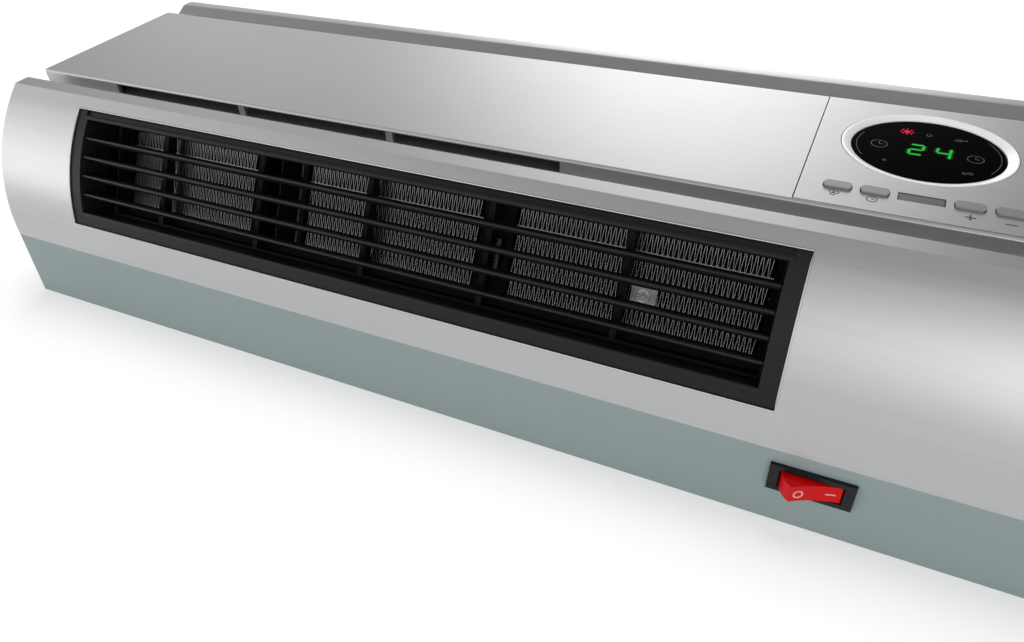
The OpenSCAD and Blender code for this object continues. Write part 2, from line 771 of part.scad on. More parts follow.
// The link joins the four crank pins
module blade_link() color([0.3, 0.3, 0.32]) at_outlet()
    along_x(open_x0 + fit_gap, open_x0 + fit_gap + link_t) difference() {
        union() {
            for (i = [0:blade_count - 1]) translate([blade_y(i) + crank_y, blade_z(i) + crank_z])
                circle(link_w / 2);
            for (i = [0:blade_count - 2]) polygon([
                [blade_y(i) + crank_y - 1.4, blade_z(i) + crank_z],
                [blade_y(i) + crank_y + 1.4, blade_z(i) + crank_z],
                [blade_y(i + 1) + crank_y + 1.4, blade_z(i + 1) + crank_z],
                [blade_y(i + 1) + crank_y - 1.4, blade_z(i + 1) + crank_z]]);
        }
        for (i = [0:blade_count - 1]) translate([blade_y(i) + crank_y, blade_z(i) + crank_z])
            circle(link_pin_r + running_gap);
    }

// Swing motor: a small can with an offset shaft boss and two ears
module swing_motor() color(steel) at_outlet()
    translate([open_x0 - duct_wall, blade_y(driven_blade), blade_z(driven_blade)]) difference() {
        union() {
            translate([0, -swing_offset, 0]) bar_x(-swing_len - 1, -1, swing_r);
            bar_x(-1, 0, swing_boss_r);
            along_x(-2.2, -1) translate([-swing_offset, 0]) {
                square([7, 2 * swing_r + 12], center = true);
            }
        }
        bar_x(-3, 1, swing_shaft_r + shaft_gap);
    }

module swing_shaft() color(steel) at_outlet()
    translate([open_x0 - duct_wall, blade_y(driven_blade), blade_z(driven_blade)])
        bar_x(-3, duct_wall + 0.6, swing_shaft_r);

// Guard ribs behind the blades, on two rails inside the frame's duct
module outlet_guard() color([0.16, 0.16, 0.17]) at_outlet() {
    guard_y0 = duct_back + 0.2;
    guard_y1 = duct_back + 5.8;
    rail = 1.6;
    difference() {
        block(carrier_x0, open_x1 - 0.2, guard_y0, guard_y1, -open_half + 0.1, open_half - 0.1);
        block(carrier_x0 + rail, open_x1 - 0.2 - rail, guard_y0 - 1, guard_y1 + 1, -open_half + 0.1 + rail,
            open_half - 0.1 - rail);
    }
    for (i = [0:rib_count - 1]) block(rib_x(i) - rib_t / 2, rib_x(i) + rib_t / 2, guard_y0, guard_y1,
        -open_half + 0.5, open_half - 0.5);
}
rib_pitch = (frame_len - rib_first - rib_last) / (rib_count - 1);
function rib_x(i) = frame_x0 + rib_first + i * rib_pitch;

// Carrier that holds the three banks of fins
module heater_carrier() color([0.13, 0.13, 0.14]) at_outlet() difference() {
    block(carrier_x0, carrier_x1, carrier_y0, duct_back, -open_half - duct_wall, open_half + duct_wall);
    for (b = bank_ends) block(b[0] - bank_slack, b[1] + bank_slack, carrier_y0 - 1, duct_back + 1,
        bank_z0 - strip_t - strip_slack, bank_z1 + strip_t + strip_slack);
    // Recess for the terminals between the first two banks
    block(bank_ends[0][1] + recess_gap, bank_ends[1][0] - recess_gap, bank_y0, duct_back + 1, bank_z0,
        bank_z1);
    // Pocket for the fuse between the other two
    block(bank_ends[1][1] + recess_gap, bank_ends[2][0] - recess_gap, bank_y1 - fuse_pocket, duct_back + 1,
        -fuse_len / 2 - 1, fuse_len / 2 + 1);
}

// One fin row: a folded foil between its two strips
module fin_row(x0, x1) {
    folds = floor((x1 - x0) / fin_fold);
    h = fin_h / 2;
    a = fin_fold * 0.18;
    b = fin_fold * 0.07;
    upper = [for (i = [0:folds - 1]) for (p = [[-a, h], [a, h], [fin_fold / 2 - b, -h + foil_t],
        [fin_fold / 2 + b, -h + foil_t]]) [x0 + (i + 0.3) * fin_fold + p[0], p[1]]];
    lower = [for (i = [folds - 1:-1:0]) for (p = [[fin_fold / 2 + a, -h], [fin_fold / 2 - a, -h],
        [b, h - foil_t], [-b, h - foil_t]]) [x0 + (i + 0.3) * fin_fold + p[0], p[1]]];
    polygon(concat(upper, lower));
}

// The four fin rows of one bank
module fin_bank(k) color([0.62, 0.62, 0.63]) at_outlet() for (i = [0:row_count - 1])
    translate([0, bank_y1, row_z(i)]) rotate([90, 0, 0]) linear_extrude(fin_depth)
        fin_row(bank_ends[k][0], bank_ends[k][1]);
module fins_left() fin_bank(0);
module fins_middle() fin_bank(1);
module fins_right() fin_bank(2);

// Ceramic stones between the rows
module heating_stones() color([0.35, 0.33, 0.32]) at_outlet() for (b = bank_ends)
    for (i = [0:row_count - 2]) for (j = [0:2]) {
        stone_len = (b[1] - b[0] - 4) / 3;
        z = row_z(i) + fin_h / 2 + strip_t;
        block(b[0] + 1 + j * (stone_len + 1), b[0] + 1 + j * (stone_len + 1) + stone_len, bank_y0, bank_y1,
            z, z + stone_t);
    }

// Contact strips above and below every fin row
module contact_strips() color([0.70, 0.69, 0.66]) at_outlet() for (b = bank_ends)
    for (i = [0:row_count - 1]) for (s = [-1, 1]) {
        z = row_z(i) + (s > 0 ? fin_h / 2 : -fin_h / 2 - strip_t);
        block(b[0], b[1], bank_y0, bank_y1, z, z + strip_t);
    }

// Push-on tabs between the first two banks
module heater_terminals() color(steel) at_outlet() for (i = [0:row_count - 1]) for (x = terminal_x)
    block(x - terminal_t / 2, x + terminal_t / 2, bank_y0, bank_y1 - 1, row_z(i) - terminal_h / 2,
        row_z(i) + terminal_h / 2);

// Bimetal cut-out with its square clamp plate, in front of the right bank
cutout_share = 0.8347;
cutout_x = frame_x0 + cutout_share * frame_len;
cutout_z = row_z(2);
module thermal_cutout() color(steel) at_outlet() translate([cutout_x, bank_y1, cutout_z]) difference() {
    block(-5.5, 5.5, 0, 1.6, -4.5, 4.5);
    bar_y(-1, 3, 1.6);
}
module cutout_screw() color(steel) at_outlet() translate([cutout_x, bank_y1, cutout_z]) {
    bar_y(0.05, 1.6, 1.5);
    difference() {
        bar_y(1.6, 2.1, 2.8);
        block(-2, 2, 1.8, 3, -0.35, 0.35);
        block(-0.35, 0.35, 1.8, 3, -2, 2);
    }
}

module thermal_fuse() color([0.75, 0.72, 0.6]) at_outlet()
    translate([(bank_ends[1][1] + bank_ends[2][0]) / 2, bank_y1 - fuse_pocket + fuse_r + strip_slack,
        -fuse_len / 2]) cylinder(h = fuse_len, r = fuse_r);

// Scroll housing: rear wall of the fan's duct and its two end plates
module scroll_housing() color([0.2, 0.2, 0.21]) at_outlet() difference() {
    union() {
        along_x(carrier_x0 + scroll_t / 2, carrier_x1 - scroll_t / 2) scroll_wall();
        for (x = [carrier_x0, carrier_x1 - scroll_t]) along_x(x, x + scroll_t) difference() {
            union() {
                translate([fan_y, 0]) circle(end_plate_r);
                polygon([[fan_y, end_plate_r - 3], [carrier_y0, open_half], [carrier_y0, -open_half],
                    [fan_y, 3 - end_plate_r]]);
            }
            translate([carrier_y0, -end_plate_r]) square(2 * end_plate_r);
        }
    }
    translate([0, fan_y, 0]) {
        bar_x(carrier_x0 - 1, carrier_x0 + scroll_t + 1, mount_r + shaft_gap);
        bar_x(carrier_x1 - scroll_t - 1, carrier_x1 + 1, hub_r + 2);
    }
}
module scroll_wall() {
    lap_deg = 3;
    start_deg = scroll_deg + lap_deg;
    inner_start = [fan_y + (scroll_r + 0.3) * cos(start_deg), (scroll_r + 0.3) * sin(start_deg)];
    outer_start = [fan_y + (scroll_r + scroll_t - 0.3) * cos(start_deg),
        (scroll_r + scroll_t - 0.3) * sin(start_deg)];
    translate([fan_y, 0]) sector(scroll_r, scroll_r + scroll_t, scroll_deg, scroll_end_deg);
    polygon([inner_start, [carrier_y0, open_half - 2.5], [carrier_y0, open_half - 1], outer_start]);
}

// Stabiliser: the tongue on the front side of the drum
module stabiliser() color(steel) at_outlet()
    along_x(carrier_x0 + scroll_t, carrier_x1 - scroll_t) {
        tip = [fan_y + (drum_r + 2.5) * cos(-62), (drum_r + 2.5) * sin(-62)];
        polygon([tip, tip + [1.6, -0.4], [carrier_y0, -open_half], [carrier_y0, -open_half + 1.5]]);
    }

// One curved drum blade as a flat outline
module drum_blade() {
    steps = 5;
    inner = drum_r - drum_blade_depth;
    function camber(t) = drum_camber_deg * sin(t * 90);
    span = drum_blade_depth - 0.2;
    function edge(k, turn) = let (r = inner + k / steps * span, a = camber(k / steps) + turn)
        [r * cos(a), r * sin(a)];
    polygon(concat([for (k = [0:steps]) edge(k, 0)], [for (k = [steps:-1:0]) edge(k, drum_blade_deg)]));
}

module fan_drum() color([0.25, 0.25, 0.27]) at_fan() difference() {
    union() {
        for (k = [0:drum_cells]) {
            x = drum_x0 + k * (drum_len - disc_t) / drum_cells;
            end_disc = k == 0 || k == drum_cells;
            along_x(x, x + disc_t) difference() {
                circle(drum_r);
                if (!end_disc) circle(drum_r - drum_blade_depth);
            }
        }
        along_x(drum_x0, drum_x1) for (i = [0:drum_blades - 1]) rotate(i * 360 / drum_blades) drum_blade();
        bar_x(drum_x0, drum_x0 + hub_len, hub_r);
        bar_x(drum_x1 - hub_len, drum_x1, hub_r);
    }
    bar_x(drum_x0 - 1, drum_x0 + hub_len + 1, shaft_r + shaft_gap);
    bar_x(drum_x1 - hub_len - 1, drum_x1 + 1, shaft_r + shaft_gap);
}

module stub_axle() color(steel) at_fan() bar_x(carrier_x0 - 8, drum_x0 + hub_len, shaft_r);

module fan_bush() color(copper) at_fan() difference() {
    bar_x(carrier_x0 - 6, carrier_x0 + scroll_t, bush_r);
    bar_x(carrier_x0 - 7, carrier_x0 + scroll_t + 1, shaft_r + running_gap);
}

module bush_mount() color([0.08, 0.08, 0.08]) at_fan() difference() {
    bar_x(carrier_x0 - 6, carrier_x0 + scroll_t + 0.5, mount_r);
    bar_x(carrier_x0 - 7, carrier_x0 + scroll_t + 2, bush_r + shaft_gap);
}

module motor_shaft() color(steel) at_fan()
    bar_x(drum_x1 - hub_len, core_x1 + leg_len + bracket_t + shaft_end, shaft_r);

module motor_rotor() color([0.5, 0.5, 0.52]) at_fan() difference() {
    bar_x(core_x0, core_x1, rotor_r);
    bar_x(core_x0 - 1, core_x1 + 1, shaft_r + shaft_gap);
}

module motor_core() color([0.45, 0.47, 0.5]) at_fan() difference() {
    block(core_x0, core_x1, -core_half, core_half, -core_drop, core_rise);
    bar_x(core_x0 - 1, core_x1 + 1, rotor_r + air_gap);
    block(core_x0 - 1, core_x1 + 1, -coil_half - 1, coil_half + 1, rotor_r + 4, core_rise - limb_h);
    for (s = [-1, 1]) translate([0, s * (core_half - 3.5), -core_drop + 3.5])
        bar_x(core_x0 - 1, core_x1 + 1, motor_screw_r + shaft_gap);
}

module motor_coil() color(copper) at_fan() difference() {
    block(core_x0 - coil_wall, core_x1 + coil_wall, -coil_half, coil_half, core_rise - limb_h - coil_wall,
        core_rise + coil_wall);
    block(core_x0 - coil_gap, core_x1 + coil_gap, -coil_half - 1, coil_half + 1,
        core_rise - limb_h - coil_gap, core_rise + coil_gap);
}

// Two brackets, each a plate with a bearing boss and two legs to the core
module motor_brackets() color(steel) at_fan() for (side = [0, 1]) {
    plate_x = side == 0 ? carrier_x1 : core_x1 + leg_len;
    leg_x = side == 0 ? carrier_x1 + bracket_t : core_x1;
    difference() {
        union() {
            block(plate_x, plate_x + bracket_t, -core_half, core_half, -core_drop, core_drop - 4);
            block(leg_x, leg_x + leg_len, -core_half, -core_half + 7, -core_drop, -core_drop + 7);
            block(leg_x, leg_x + leg_len, core_half - 7, core_half, -core_drop, -core_drop + 7);
            bar_x(side == 0 ? plate_x : plate_x - 4, side == 0 ? plate_x + 5.6 : plate_x + bracket_t, 6);
        }
        bar_x(plate_x - 7, plate_x + 8, shaft_r + running_gap);
        for (s = [-1, 1]) translate([0, s * (core_half - 3.5), -core_drop + 3.5])
            bar_x(plate_x - leg_len - 3, plate_x + leg_len + 3, motor_screw_r + shaft_gap);
    }
}

module motor_screws() color(steel) at_fan() for (s = [-1, 1])
    translate([0, s * (core_half - 3.5), -core_drop + 3.5]) {
        bar_x(carrier_x1 + 0.1, core_x1 + leg_len + bracket_t, motor_screw_r);
        bar_x(core_x1 + leg_len + bracket_t, core_x1 + leg_len + bracket_t + 2, motor_screw_r * 2);
    }

module power_board() color(board_green) difference() {
    block(power_x0, power_x1, -power_y - board_t, -power_y, power_z0, power_z1);
    for (x = [power_x0 + board_inset, power_x1 - board_inset])
        for (z = [power_z0 + board_inset, power_z1 - board_inset])
            translate([x, 0, z]) bar_y(-power_y - board_t - 1, -power_y + 1, small_screw_r + 0.2);
}

// A component that stands on the power board
module on_board(x, z, w, h, d) {
    block(power_x0 + x, power_x0 + x + w, -power_y - board_t - d, -power_y - board_t, power_z0 + z,
        power_z0 + z + h);
}
module relays() color([0.1, 0.25, 0.5]) for (i = [0, 1])
    on_board(parts_x + i * (relay_len + parts_gap), relay_z, relay_len, relay_h, relay_deep);
module supply_capacitor() color([0.75, 0.65, 0.1])
    on_board(parts_x, transformer_z, capacitor_len, capacitor_h, capacitor_deep);
module supply_transformer() color([0.7, 0.6, 0.2])
    on_board(parts_x + relay_len + parts_gap, transformer_z, transformer_len, transformer_h,
        transformer_deep);
module terminal_block() color([0.85, 0.85, 0.82]) difference() {
    on_board(parts_x, block_z, capacitor_len, block_h, block_deep);
    clamp_z = power_z0 + block_z + block_h / 2;
    for (i = [0:2]) translate([power_x0 + parts_x + (i + 0.5) * capacitor_len / 3, 0, clamp_z])
        bar_y(-power_y - board_t - block_deep - 1, -power_y - board_t - block_deep / 2, clamp_r);
}

// Sizes and places of the components on the power board
parts_x = 8.5;
parts_gap = 1.5;
relay_len = 19;
relay_h = 15;
relay_deep = 15;
relay_z = 3;
transformer_len = 22;
transformer_h = 19;
transformer_deep = 15;
transformer_z = 22;
capacitor_len = 18;
capacitor_h = 8;
capacitor_deep = 14;
block_h = 12;
block_deep = 13;
block_z = 35;
clamp_r = 1.8;

// The switch's frame: z points into the casing, square to the sloping underside
module at_switch() {
    translate([switch_x, -switch_y, switch_z]) rotate([-draft_deg, 0, 0]) children();
}

module switch_housing() color([0.06, 0.06, 0.06]) at_switch() difference() {
    union() {
        block(-switch_len / 2, switch_len / 2, -switch_w / 2, switch_w / 2, -bezel_t, 0);
        block(-switch_body_len / 2, switch_body_len / 2, -switch_body_w / 2, switch_body_w / 2, 0,
            switch_deep);
    }
    block(-rocker_r - fit_gap, rocker_r + fit_gap, -rocker_w / 2 - fit_gap, rocker_w / 2 + fit_gap,
        -bezel_t - 1, switch_deep - 2);
    translate([0, 0, rocker_axle]) bar_y(-switch_w, switch_w, rocker_pin_r + running_gap);
    for (x = [-terminal_pitch, 0, terminal_pitch]) translate([x, 0, switch_deep])
        cube([blade_terminal_w + 2 * shaft_gap, blade_terminal_t + 2 * shaft_gap, 6], center = true);
}

// Outline of the rocker about its axle: round ends, and a face dished along an arc
function rocker_end(side) = [for (k = [0:rocker_steps]) let (
    turn = rocker_foot_deg + k / rocker_steps * (rocker_tip_deg - rocker_foot_deg))
    [side * rocker_r * cos(turn), -rocker_r * sin(turn)]];
function rocker_face() = let (x = rocker_r * cos(rocker_tip_deg), z = rocker_r * sin(rocker_tip_deg))
    [for (k = [1:rocker_steps - 1]) let (s = 1 - 2 * k / rocker_steps)
        [s * x, -z + rocker_dish * (1 - s * s)]];
function reversed(list) = [for (i = [len(list) - 1:-1:0]) list[i]];

// The rocker at rest: its right end pressed in, its left end standing out
module rocker() color([0.8, 0.05, 0.04]) at_switch() translate([0, 0, rocker_axle])
    rotate([0, -rocker_throw / 2, 0]) {
        rotate([90, 0, 0]) translate([0, 0, -rocker_w / 2]) linear_extrude(rocker_w)
            polygon(concat(rocker_end(1), rocker_face(), reversed(rocker_end(-1)),
                [[-rocker_foot_x, rocker_foot_z], [rocker_foot_x, rocker_foot_z]]));
        bar_y(-switch_body_w / 2, switch_body_w / 2, rocker_pin_r);
    }

module switch_terminals() color(copper) at_switch() for (x = [-terminal_pitch, 0, terminal_pitch])
    block(x - blade_terminal_w / 2, x + blade_terminal_w / 2, -blade_terminal_t / 2, blade_terminal_t / 2,
        switch_deep - 2, switch_deep + blade_terminal_out);

module cable_bushing() color([0.07, 0.07, 0.07]) translate([0, -inlet_y, inlet_z]) difference() {
    union() {
        bar_x(half_l - bushing_len, half_l, bushing_r);
        bar_x(half_l, half_l + bushing_lip, cable_r + 5);
    }
    bar_x(half_l - bushing_len - 1, half_l + bushing_lip + 1, cable_r);
}

module bushing_nut() color([0.1, 0.1, 0.1]) translate([0, -inlet_y, inlet_z]) difference() {
    translate([half_l - wall - nut_t, 0, 0]) rotate([0, 90, 0])
        cylinder(h = nut_t, r = cable_r + nut_wall, $fn = 6);
    bar_x(half_l - wall - nut_t - 1, half_l, bushing_r + shaft_gap);
}

module intake_grille() color(silver) difference() {
    block(intake_x0, intake_x1, -intake_y1, -intake_y0, top_z - wall, top_z);
    pitch = (intake_x1 - intake_x0 - 4) / intake_bars;
    for (i = [0:intake_bars - 1]) block(intake_x0 + 3 + i * pitch, intake_x0 + 3 + i * pitch + pitch * 0.64,
        -intake_y1 + 4, -intake_y0 - 4, top_z - wall - 1, top_z + 1);
}

module dust_filter() color([0.2, 0.2, 0.2])
    block(intake_x0 - 3, intake_x1 + 3, -intake_y1 - 3, -intake_y0 + 3, top_z - wall - filter_t - 0.1,
        top_z - wall - 0.1);

module casing_screws() color(steel) for (p = screw_places) translate([p[0], 0, p[1]]) {
    bar_y(-casing_depth - boss_len + 4, -casing_depth + 8, screw_r - 0.1);
    bar_y(-casing_depth + 8, -casing_depth + 10.5, screw_r * 1.8);
}

module board_screws() color(steel) {
    for (x = [power_x0 + board_inset, power_x1 - board_inset])
    for (z = [power_z0 + board_inset, power_z1 - board_inset]) translate([x, 0, z]) {
        bar_y(-power_y - board_t, -power_y + 6, small_screw_r - 0.1);
        bar_y(-power_y - board_t - 1.6, -power_y - board_t, small_screw_r * 2);
    }
    for (p = board_places) translate([p[0], 0, p[1]]) {
        bar_y(-depth + 2, -board_y, small_screw_r - 0.1);
        bar_y(-board_y, -board_y + 1.6, small_screw_r * 2);
    }
}

rear_casing();
front_shell();
front_plate();
control_panel();
display_ring();
display_window();
receiver_window();
heat_button();
timer_button();
plus_button();
minus_button();
control_board();
button_switches();
digit_display();
infrared_receiver();
outlet_frame();
blade_1();
blade_2();
blade_3();
blade_4();
blade_link();
swing_motor();
swing_shaft();
outlet_guard();
heater_carrier();
fins_left();
fins_middle();
fins_right();
heating_stones();
contact_strips();
heater_terminals();
thermal_cutout();
cutout_screw();
thermal_fuse();
scroll_housing();
stabiliser();
fan_drum();
stub_axle();
fan_bush();
bush_mount();
motor_shaft();
motor_rotor();
motor_core();
motor_coil();
motor_brackets();
motor_screws();
power_board();
relays();
supply_capacitor();
supply_transformer();
terminal_block();
switch_housing();
rocker();
switch_terminals();
cable_bushing();
bushing_nut();
intake_grille();
dust_filter();
casing_screws();
board_screws();
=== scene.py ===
# %% [markdown]
# # A wall-mounted fan heater
# The heater hangs on a wall, but for its portrait it lies on its back on a pale floor. The frame
# keeps the wall at y = 0, with z up and the front facing -y, so that the wall plane is the floor of
# the picture and "up" in the picture is -y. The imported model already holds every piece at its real
# size and place. This lesson gives those pieces their surfaces: softened edges, printed marks, lit
# digits, and a material for each kind of stuff.

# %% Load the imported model
import json
import math

import bmesh
import bpy
from mathutils import Matrix, Vector

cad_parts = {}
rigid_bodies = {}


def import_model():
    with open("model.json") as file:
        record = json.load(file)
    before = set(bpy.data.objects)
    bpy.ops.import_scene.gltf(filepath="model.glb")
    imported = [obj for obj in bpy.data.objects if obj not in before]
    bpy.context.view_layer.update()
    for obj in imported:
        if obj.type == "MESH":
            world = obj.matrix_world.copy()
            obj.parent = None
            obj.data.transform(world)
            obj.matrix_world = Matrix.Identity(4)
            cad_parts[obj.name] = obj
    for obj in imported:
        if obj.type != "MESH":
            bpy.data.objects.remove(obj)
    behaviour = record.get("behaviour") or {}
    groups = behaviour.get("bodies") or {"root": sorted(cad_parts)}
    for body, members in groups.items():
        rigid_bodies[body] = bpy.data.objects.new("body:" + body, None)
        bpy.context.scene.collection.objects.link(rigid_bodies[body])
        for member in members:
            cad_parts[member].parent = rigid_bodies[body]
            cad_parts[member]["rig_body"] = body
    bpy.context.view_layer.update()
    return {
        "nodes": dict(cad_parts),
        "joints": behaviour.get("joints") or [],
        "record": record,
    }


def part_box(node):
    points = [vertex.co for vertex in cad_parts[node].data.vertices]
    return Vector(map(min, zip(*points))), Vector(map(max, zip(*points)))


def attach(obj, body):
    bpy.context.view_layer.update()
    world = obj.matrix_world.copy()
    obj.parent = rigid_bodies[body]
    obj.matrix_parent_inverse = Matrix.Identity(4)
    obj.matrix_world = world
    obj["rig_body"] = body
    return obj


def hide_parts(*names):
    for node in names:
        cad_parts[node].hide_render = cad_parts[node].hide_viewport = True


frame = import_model()
MM = 0.001

# %% [markdown]
# ## The camera
# The picture is taken from beyond the heater's underside, toward its right end, with a wide lens
# close to it, so the long edges run together to the left. The camera's place and its directions
# were solved from those edges. A matrix whose columns are the camera's right, up and backward
# directions sets it exactly, with no shift and no depth of field.

# %% Place the camera
IMAGE_W, IMAGE_H = 1024, 642
FOCAL_PX = 794.6
SENSOR = 36.0
NEAR_CLIP = 0.01
camera_at = Vector((164.7, -271.9, -304.2)) * MM
camera_right = Vector((0.9038, 0.0539, 0.4246)).normalized()
camera_forward = Vector((-0.3582, 0.6381, 0.6815)).normalized()
camera_up = camera_right.cross(camera_forward).normalized()

camera_data = bpy.data.cameras.new("camera")
camera_data.sensor_width = SENSOR
camera_data.lens = FOCAL_PX / IMAGE_W * SENSOR
camera_data.clip_start = NEAR_CLIP
camera = bpy.data.objects.new("camera", camera_data)
turn = Matrix((camera_right, camera_up, -camera_forward)).transposed().to_4x4()
camera.matrix_world = Matrix.Translation(camera_at) @ turn
bpy.context.scene.collection.objects.link(camera)
bpy.context.scene.camera = camera
print("lens", round(camera_data.lens, 2), "mm for an image of", IMAGE_W, "by", IMAGE_H)

# %% [markdown]
# ## Shader maths as Python
# A material's node tree is a sum written out in boxes. A small class that wraps an output socket,
# with the arithmetic signs overloaded, lets the sum be written as Python instead. One function adds
# every other node: it takes the node's type, its settings, which are set first, and what goes into
# its sockets.

# %% Wrap a socket, and add nodes
class Wire:
    """An output of a shader node. Sums and products of wires and numbers add Math nodes."""

    def __init__(self, tree, socket):
        self.tree, self.socket = tree, socket

    def math(self, operation, first, second):
        return add_node(self.tree, "Math", {"operation": operation}, {0: first, 1: second})

    def __add__(self, other):
        return self.math("ADD", self, other)

    def __radd__(self, other):
        return self.math("ADD", other, self)

    def __sub__(self, other):
        return self.math("SUBTRACT", self, other)

    def __rsub__(self, other):
        return self.math("SUBTRACT", other, self)

    def __mul__(self, other):
        return self.math("MULTIPLY", self, other)

    def __rmul__(self, other):
        return self.math("MULTIPLY", other, self)

    def __rpow__(self, other):
        return self.math("POWER", other, self)


def feed(tree, socket, value):
    """Links a wire to a socket, or sets the socket to a number or colour."""
    if isinstance(value, Wire):
        tree.links.new(value.socket, socket)
    else:
        socket.default_value = value


def add_node(tree, kind, settings=None, inputs=None, out=0):
    """Adds one shader node: its settings first, then its inputs. Returns one of its outputs."""
    node = tree.nodes.new("ShaderNode" + kind)
    for name, value in (settings or {}).items():
        setattr(node, name, value)
    for name, value in (inputs or {}).items():
        feed(tree, node.inputs[name], value)
    return Wire(tree, node.outputs[out])


# %% [markdown]
# A finish is one material while it is being made. It starts from a Principled shader whose constant
# values sit directly on the sockets, and then says what varies: colour, roughness and the bump.
# Object coordinates are metres in the heater's own frame, because every piece's origin is the
# frame's origin, so one noise scale means the same size on every piece.

# %% The finish class
NOISE_ROUGHNESS = 0.55
MIX_FACTOR, MIX_DARK, MIX_LIGHT, MIX_COLOUR_OUT = 0, 6, 7, 2


class Finish:
    """A material under construction: a Principled shader and what feeds it."""

    def __init__(self, name, **constants):
        self.material = bpy.data.materials.new(name)
        self.material.use_nodes = True
        self.tree = self.material.node_tree
        self.shader = self.tree.nodes["Principled BSDF"]
        for socket, value in constants.items():
            self.set(socket.replace("_", " ").title().replace("Ior", "IOR"), value)

    def set(self, socket, value):
        """Sets or links one of the shader's sockets. A constant colour has three numbers."""
        if "Color" in socket and not isinstance(value, Wire):
            value = (*value, 1.0)
        feed(self.tree, self.shader.inputs[socket], value)
        return self

    def node(self, kind, settings=None, inputs=None, out=0):
        return add_node(self.tree, kind, settings, inputs, out)

    def noise(self, scale, detail):
        """Noise from 0 to 1. The scale is one number, or one for each axis; high means fine."""
        if not isinstance(scale, tuple):
            scale = (scale, scale, scale)
        at = self.node("TexCoord", out="Object")
        scaled = self.node("Mapping", inputs={"Vector": at, "Scale": scale})
        inputs = {"Vector": scaled, "Scale": 1.0, "Detail": detail, "Roughness": NOISE_ROUGHNESS}
        return self.node("TexNoise", inputs=inputs, out="Fac")

    def tint(self, factor, dark, light):
        """A colour between two, by a factor from 0 to 1."""
        inputs = {MIX_FACTOR: factor, MIX_DARK: (*dark, 1), MIX_LIGHT: (*light, 1)}
        return self.node("Mix", {"data_type": "RGBA"}, inputs, out=MIX_COLOUR_OUT)

    def bump(self, height, depth):
        """Small relief: height is a wire from 0 to 1, depth the relief in metres."""
        normal = self.node("Bump", inputs={"Height": height, "Distance": depth, "Strength": 1.0})
        return self.set("Normal", normal)


def shade(colour, factor):
    """A colour made darker or lighter."""
    return tuple(channel * factor for channel in colour)


# %% [markdown]
# ## The silver front
# The front is moulded plastic with a satin silver paint: metal flakes in a clear binder. It
# reflects like a dull metal, so the metallic value is high and the roughness is middling. The
# flakes show as very fine grain, and the spraying leaves faint streaks along the length. Both are
# noise, stretched differently.

# %% Silver paint
SILVER = (0.540, 0.542, 0.547)
SPRAY_STREAKS, PAINT_FLAKES, PAINT_CLOUDS = (9, 420, 420), 2600, 14
PAINT_RELIEF = 0.000012


def silver_paint():
    """Satin silver, with grain and faint streaks along the length."""
    finish = Finish("silver_paint", metallic=0.86, coat_weight=0.08, coat_roughness=0.2)
    streaks = finish.noise(SPRAY_STREAKS, detail=4)
    flakes = finish.noise(PAINT_FLAKES, detail=1)
    clouds = finish.noise(PAINT_CLOUDS, detail=2)
    mottle = streaks * 0.6 + flakes * 0.4
    finish.set("Base Color", finish.tint(mottle, shade(SILVER, 0.90), shade(SILVER, 1.08)))
    finish.set("Roughness", 0.29 + streaks * 0.07 + clouds * 0.04)
    return finish.bump(streaks * 0.5 + flakes * 0.5, PAINT_RELIEF).material


finishes = {"silver_paint": silver_paint()}
print("silver paint:", len(finishes["silver_paint"].node_tree.nodes), "shader nodes")

# %% [markdown]
# ## The moulded plastics
# The rear casing is gray-green plastic with the fine matt texture of a spark-eroded mould. The
# outlet's frame, the blades and the rocker's housing are black or dark gray, with the same kind of
# texture at their own depth. They share one function and differ by a line in a table: the colour,
# the gloss and the grain. Colours are linear values, as Blender's shaders use them.

# %% Moulded plastic
PLASTIC_CLOUDS = 22
PLASTICS = {
    "casing_plastic": dict(colour=(0.252, 0.312, 0.309), roughness=0.48, mottle=0.03),
    "frame_plastic": dict(colour=(0.0125, 0.0122, 0.0130), roughness=0.38, specular_ior_level=0.20),
    "blade_plastic": dict(colour=(0.006, 0.006, 0.0065), roughness=0.30, specular_ior_level=0.32),
    "ring_paint": dict(colour=(0.93, 0.93, 0.94), roughness=0.30, depth=0.000006, metallic=0.25,
                       coat_weight=0.2),
    "lens": dict(colour=(0.0012, 0.0012, 0.0015), roughness=0.10, depth=0.000002,
                 specular_ior_level=0.002),
    "receiver_lens": dict(colour=(0.075, 0.066, 0.070), roughness=0.32, depth=0.000004,
                          coat_weight=0.2),
    "button_plastic": dict(colour=(0.245, 0.245, 0.250), roughness=0.34, metallic=0.35),
    "circuit_board": dict(colour=(0.03, 0.16, 0.06), roughness=0.35, grain=400),
    "black_parts": dict(colour=(0.010, 0.010, 0.0115), roughness=0.34, specular_ior_level=0.22),
    "relay_case": dict(colour=(0.03, 0.08, 0.30), roughness=0.32),
    "yellow_case": dict(colour=(0.50, 0.38, 0.04), roughness=0.38),
    "white_plastic": dict(colour=(0.62, 0.62, 0.58), roughness=0.42),
    "ceramic": dict(colour=(0.03, 0.028, 0.027), roughness=0.62, grain=900),
    "rubber": dict(colour=(0.018, 0.018, 0.018), roughness=0.66),
    "filter_mesh": dict(colour=(0.03, 0.03, 0.03), roughness=0.8, grain=2200, depth=0.0002),
    "red_plastic": dict(colour=(0.60, 0.0015, 0.002), roughness=0.24, depth=0.000004,
                        specular_ior_level=0.16),
}


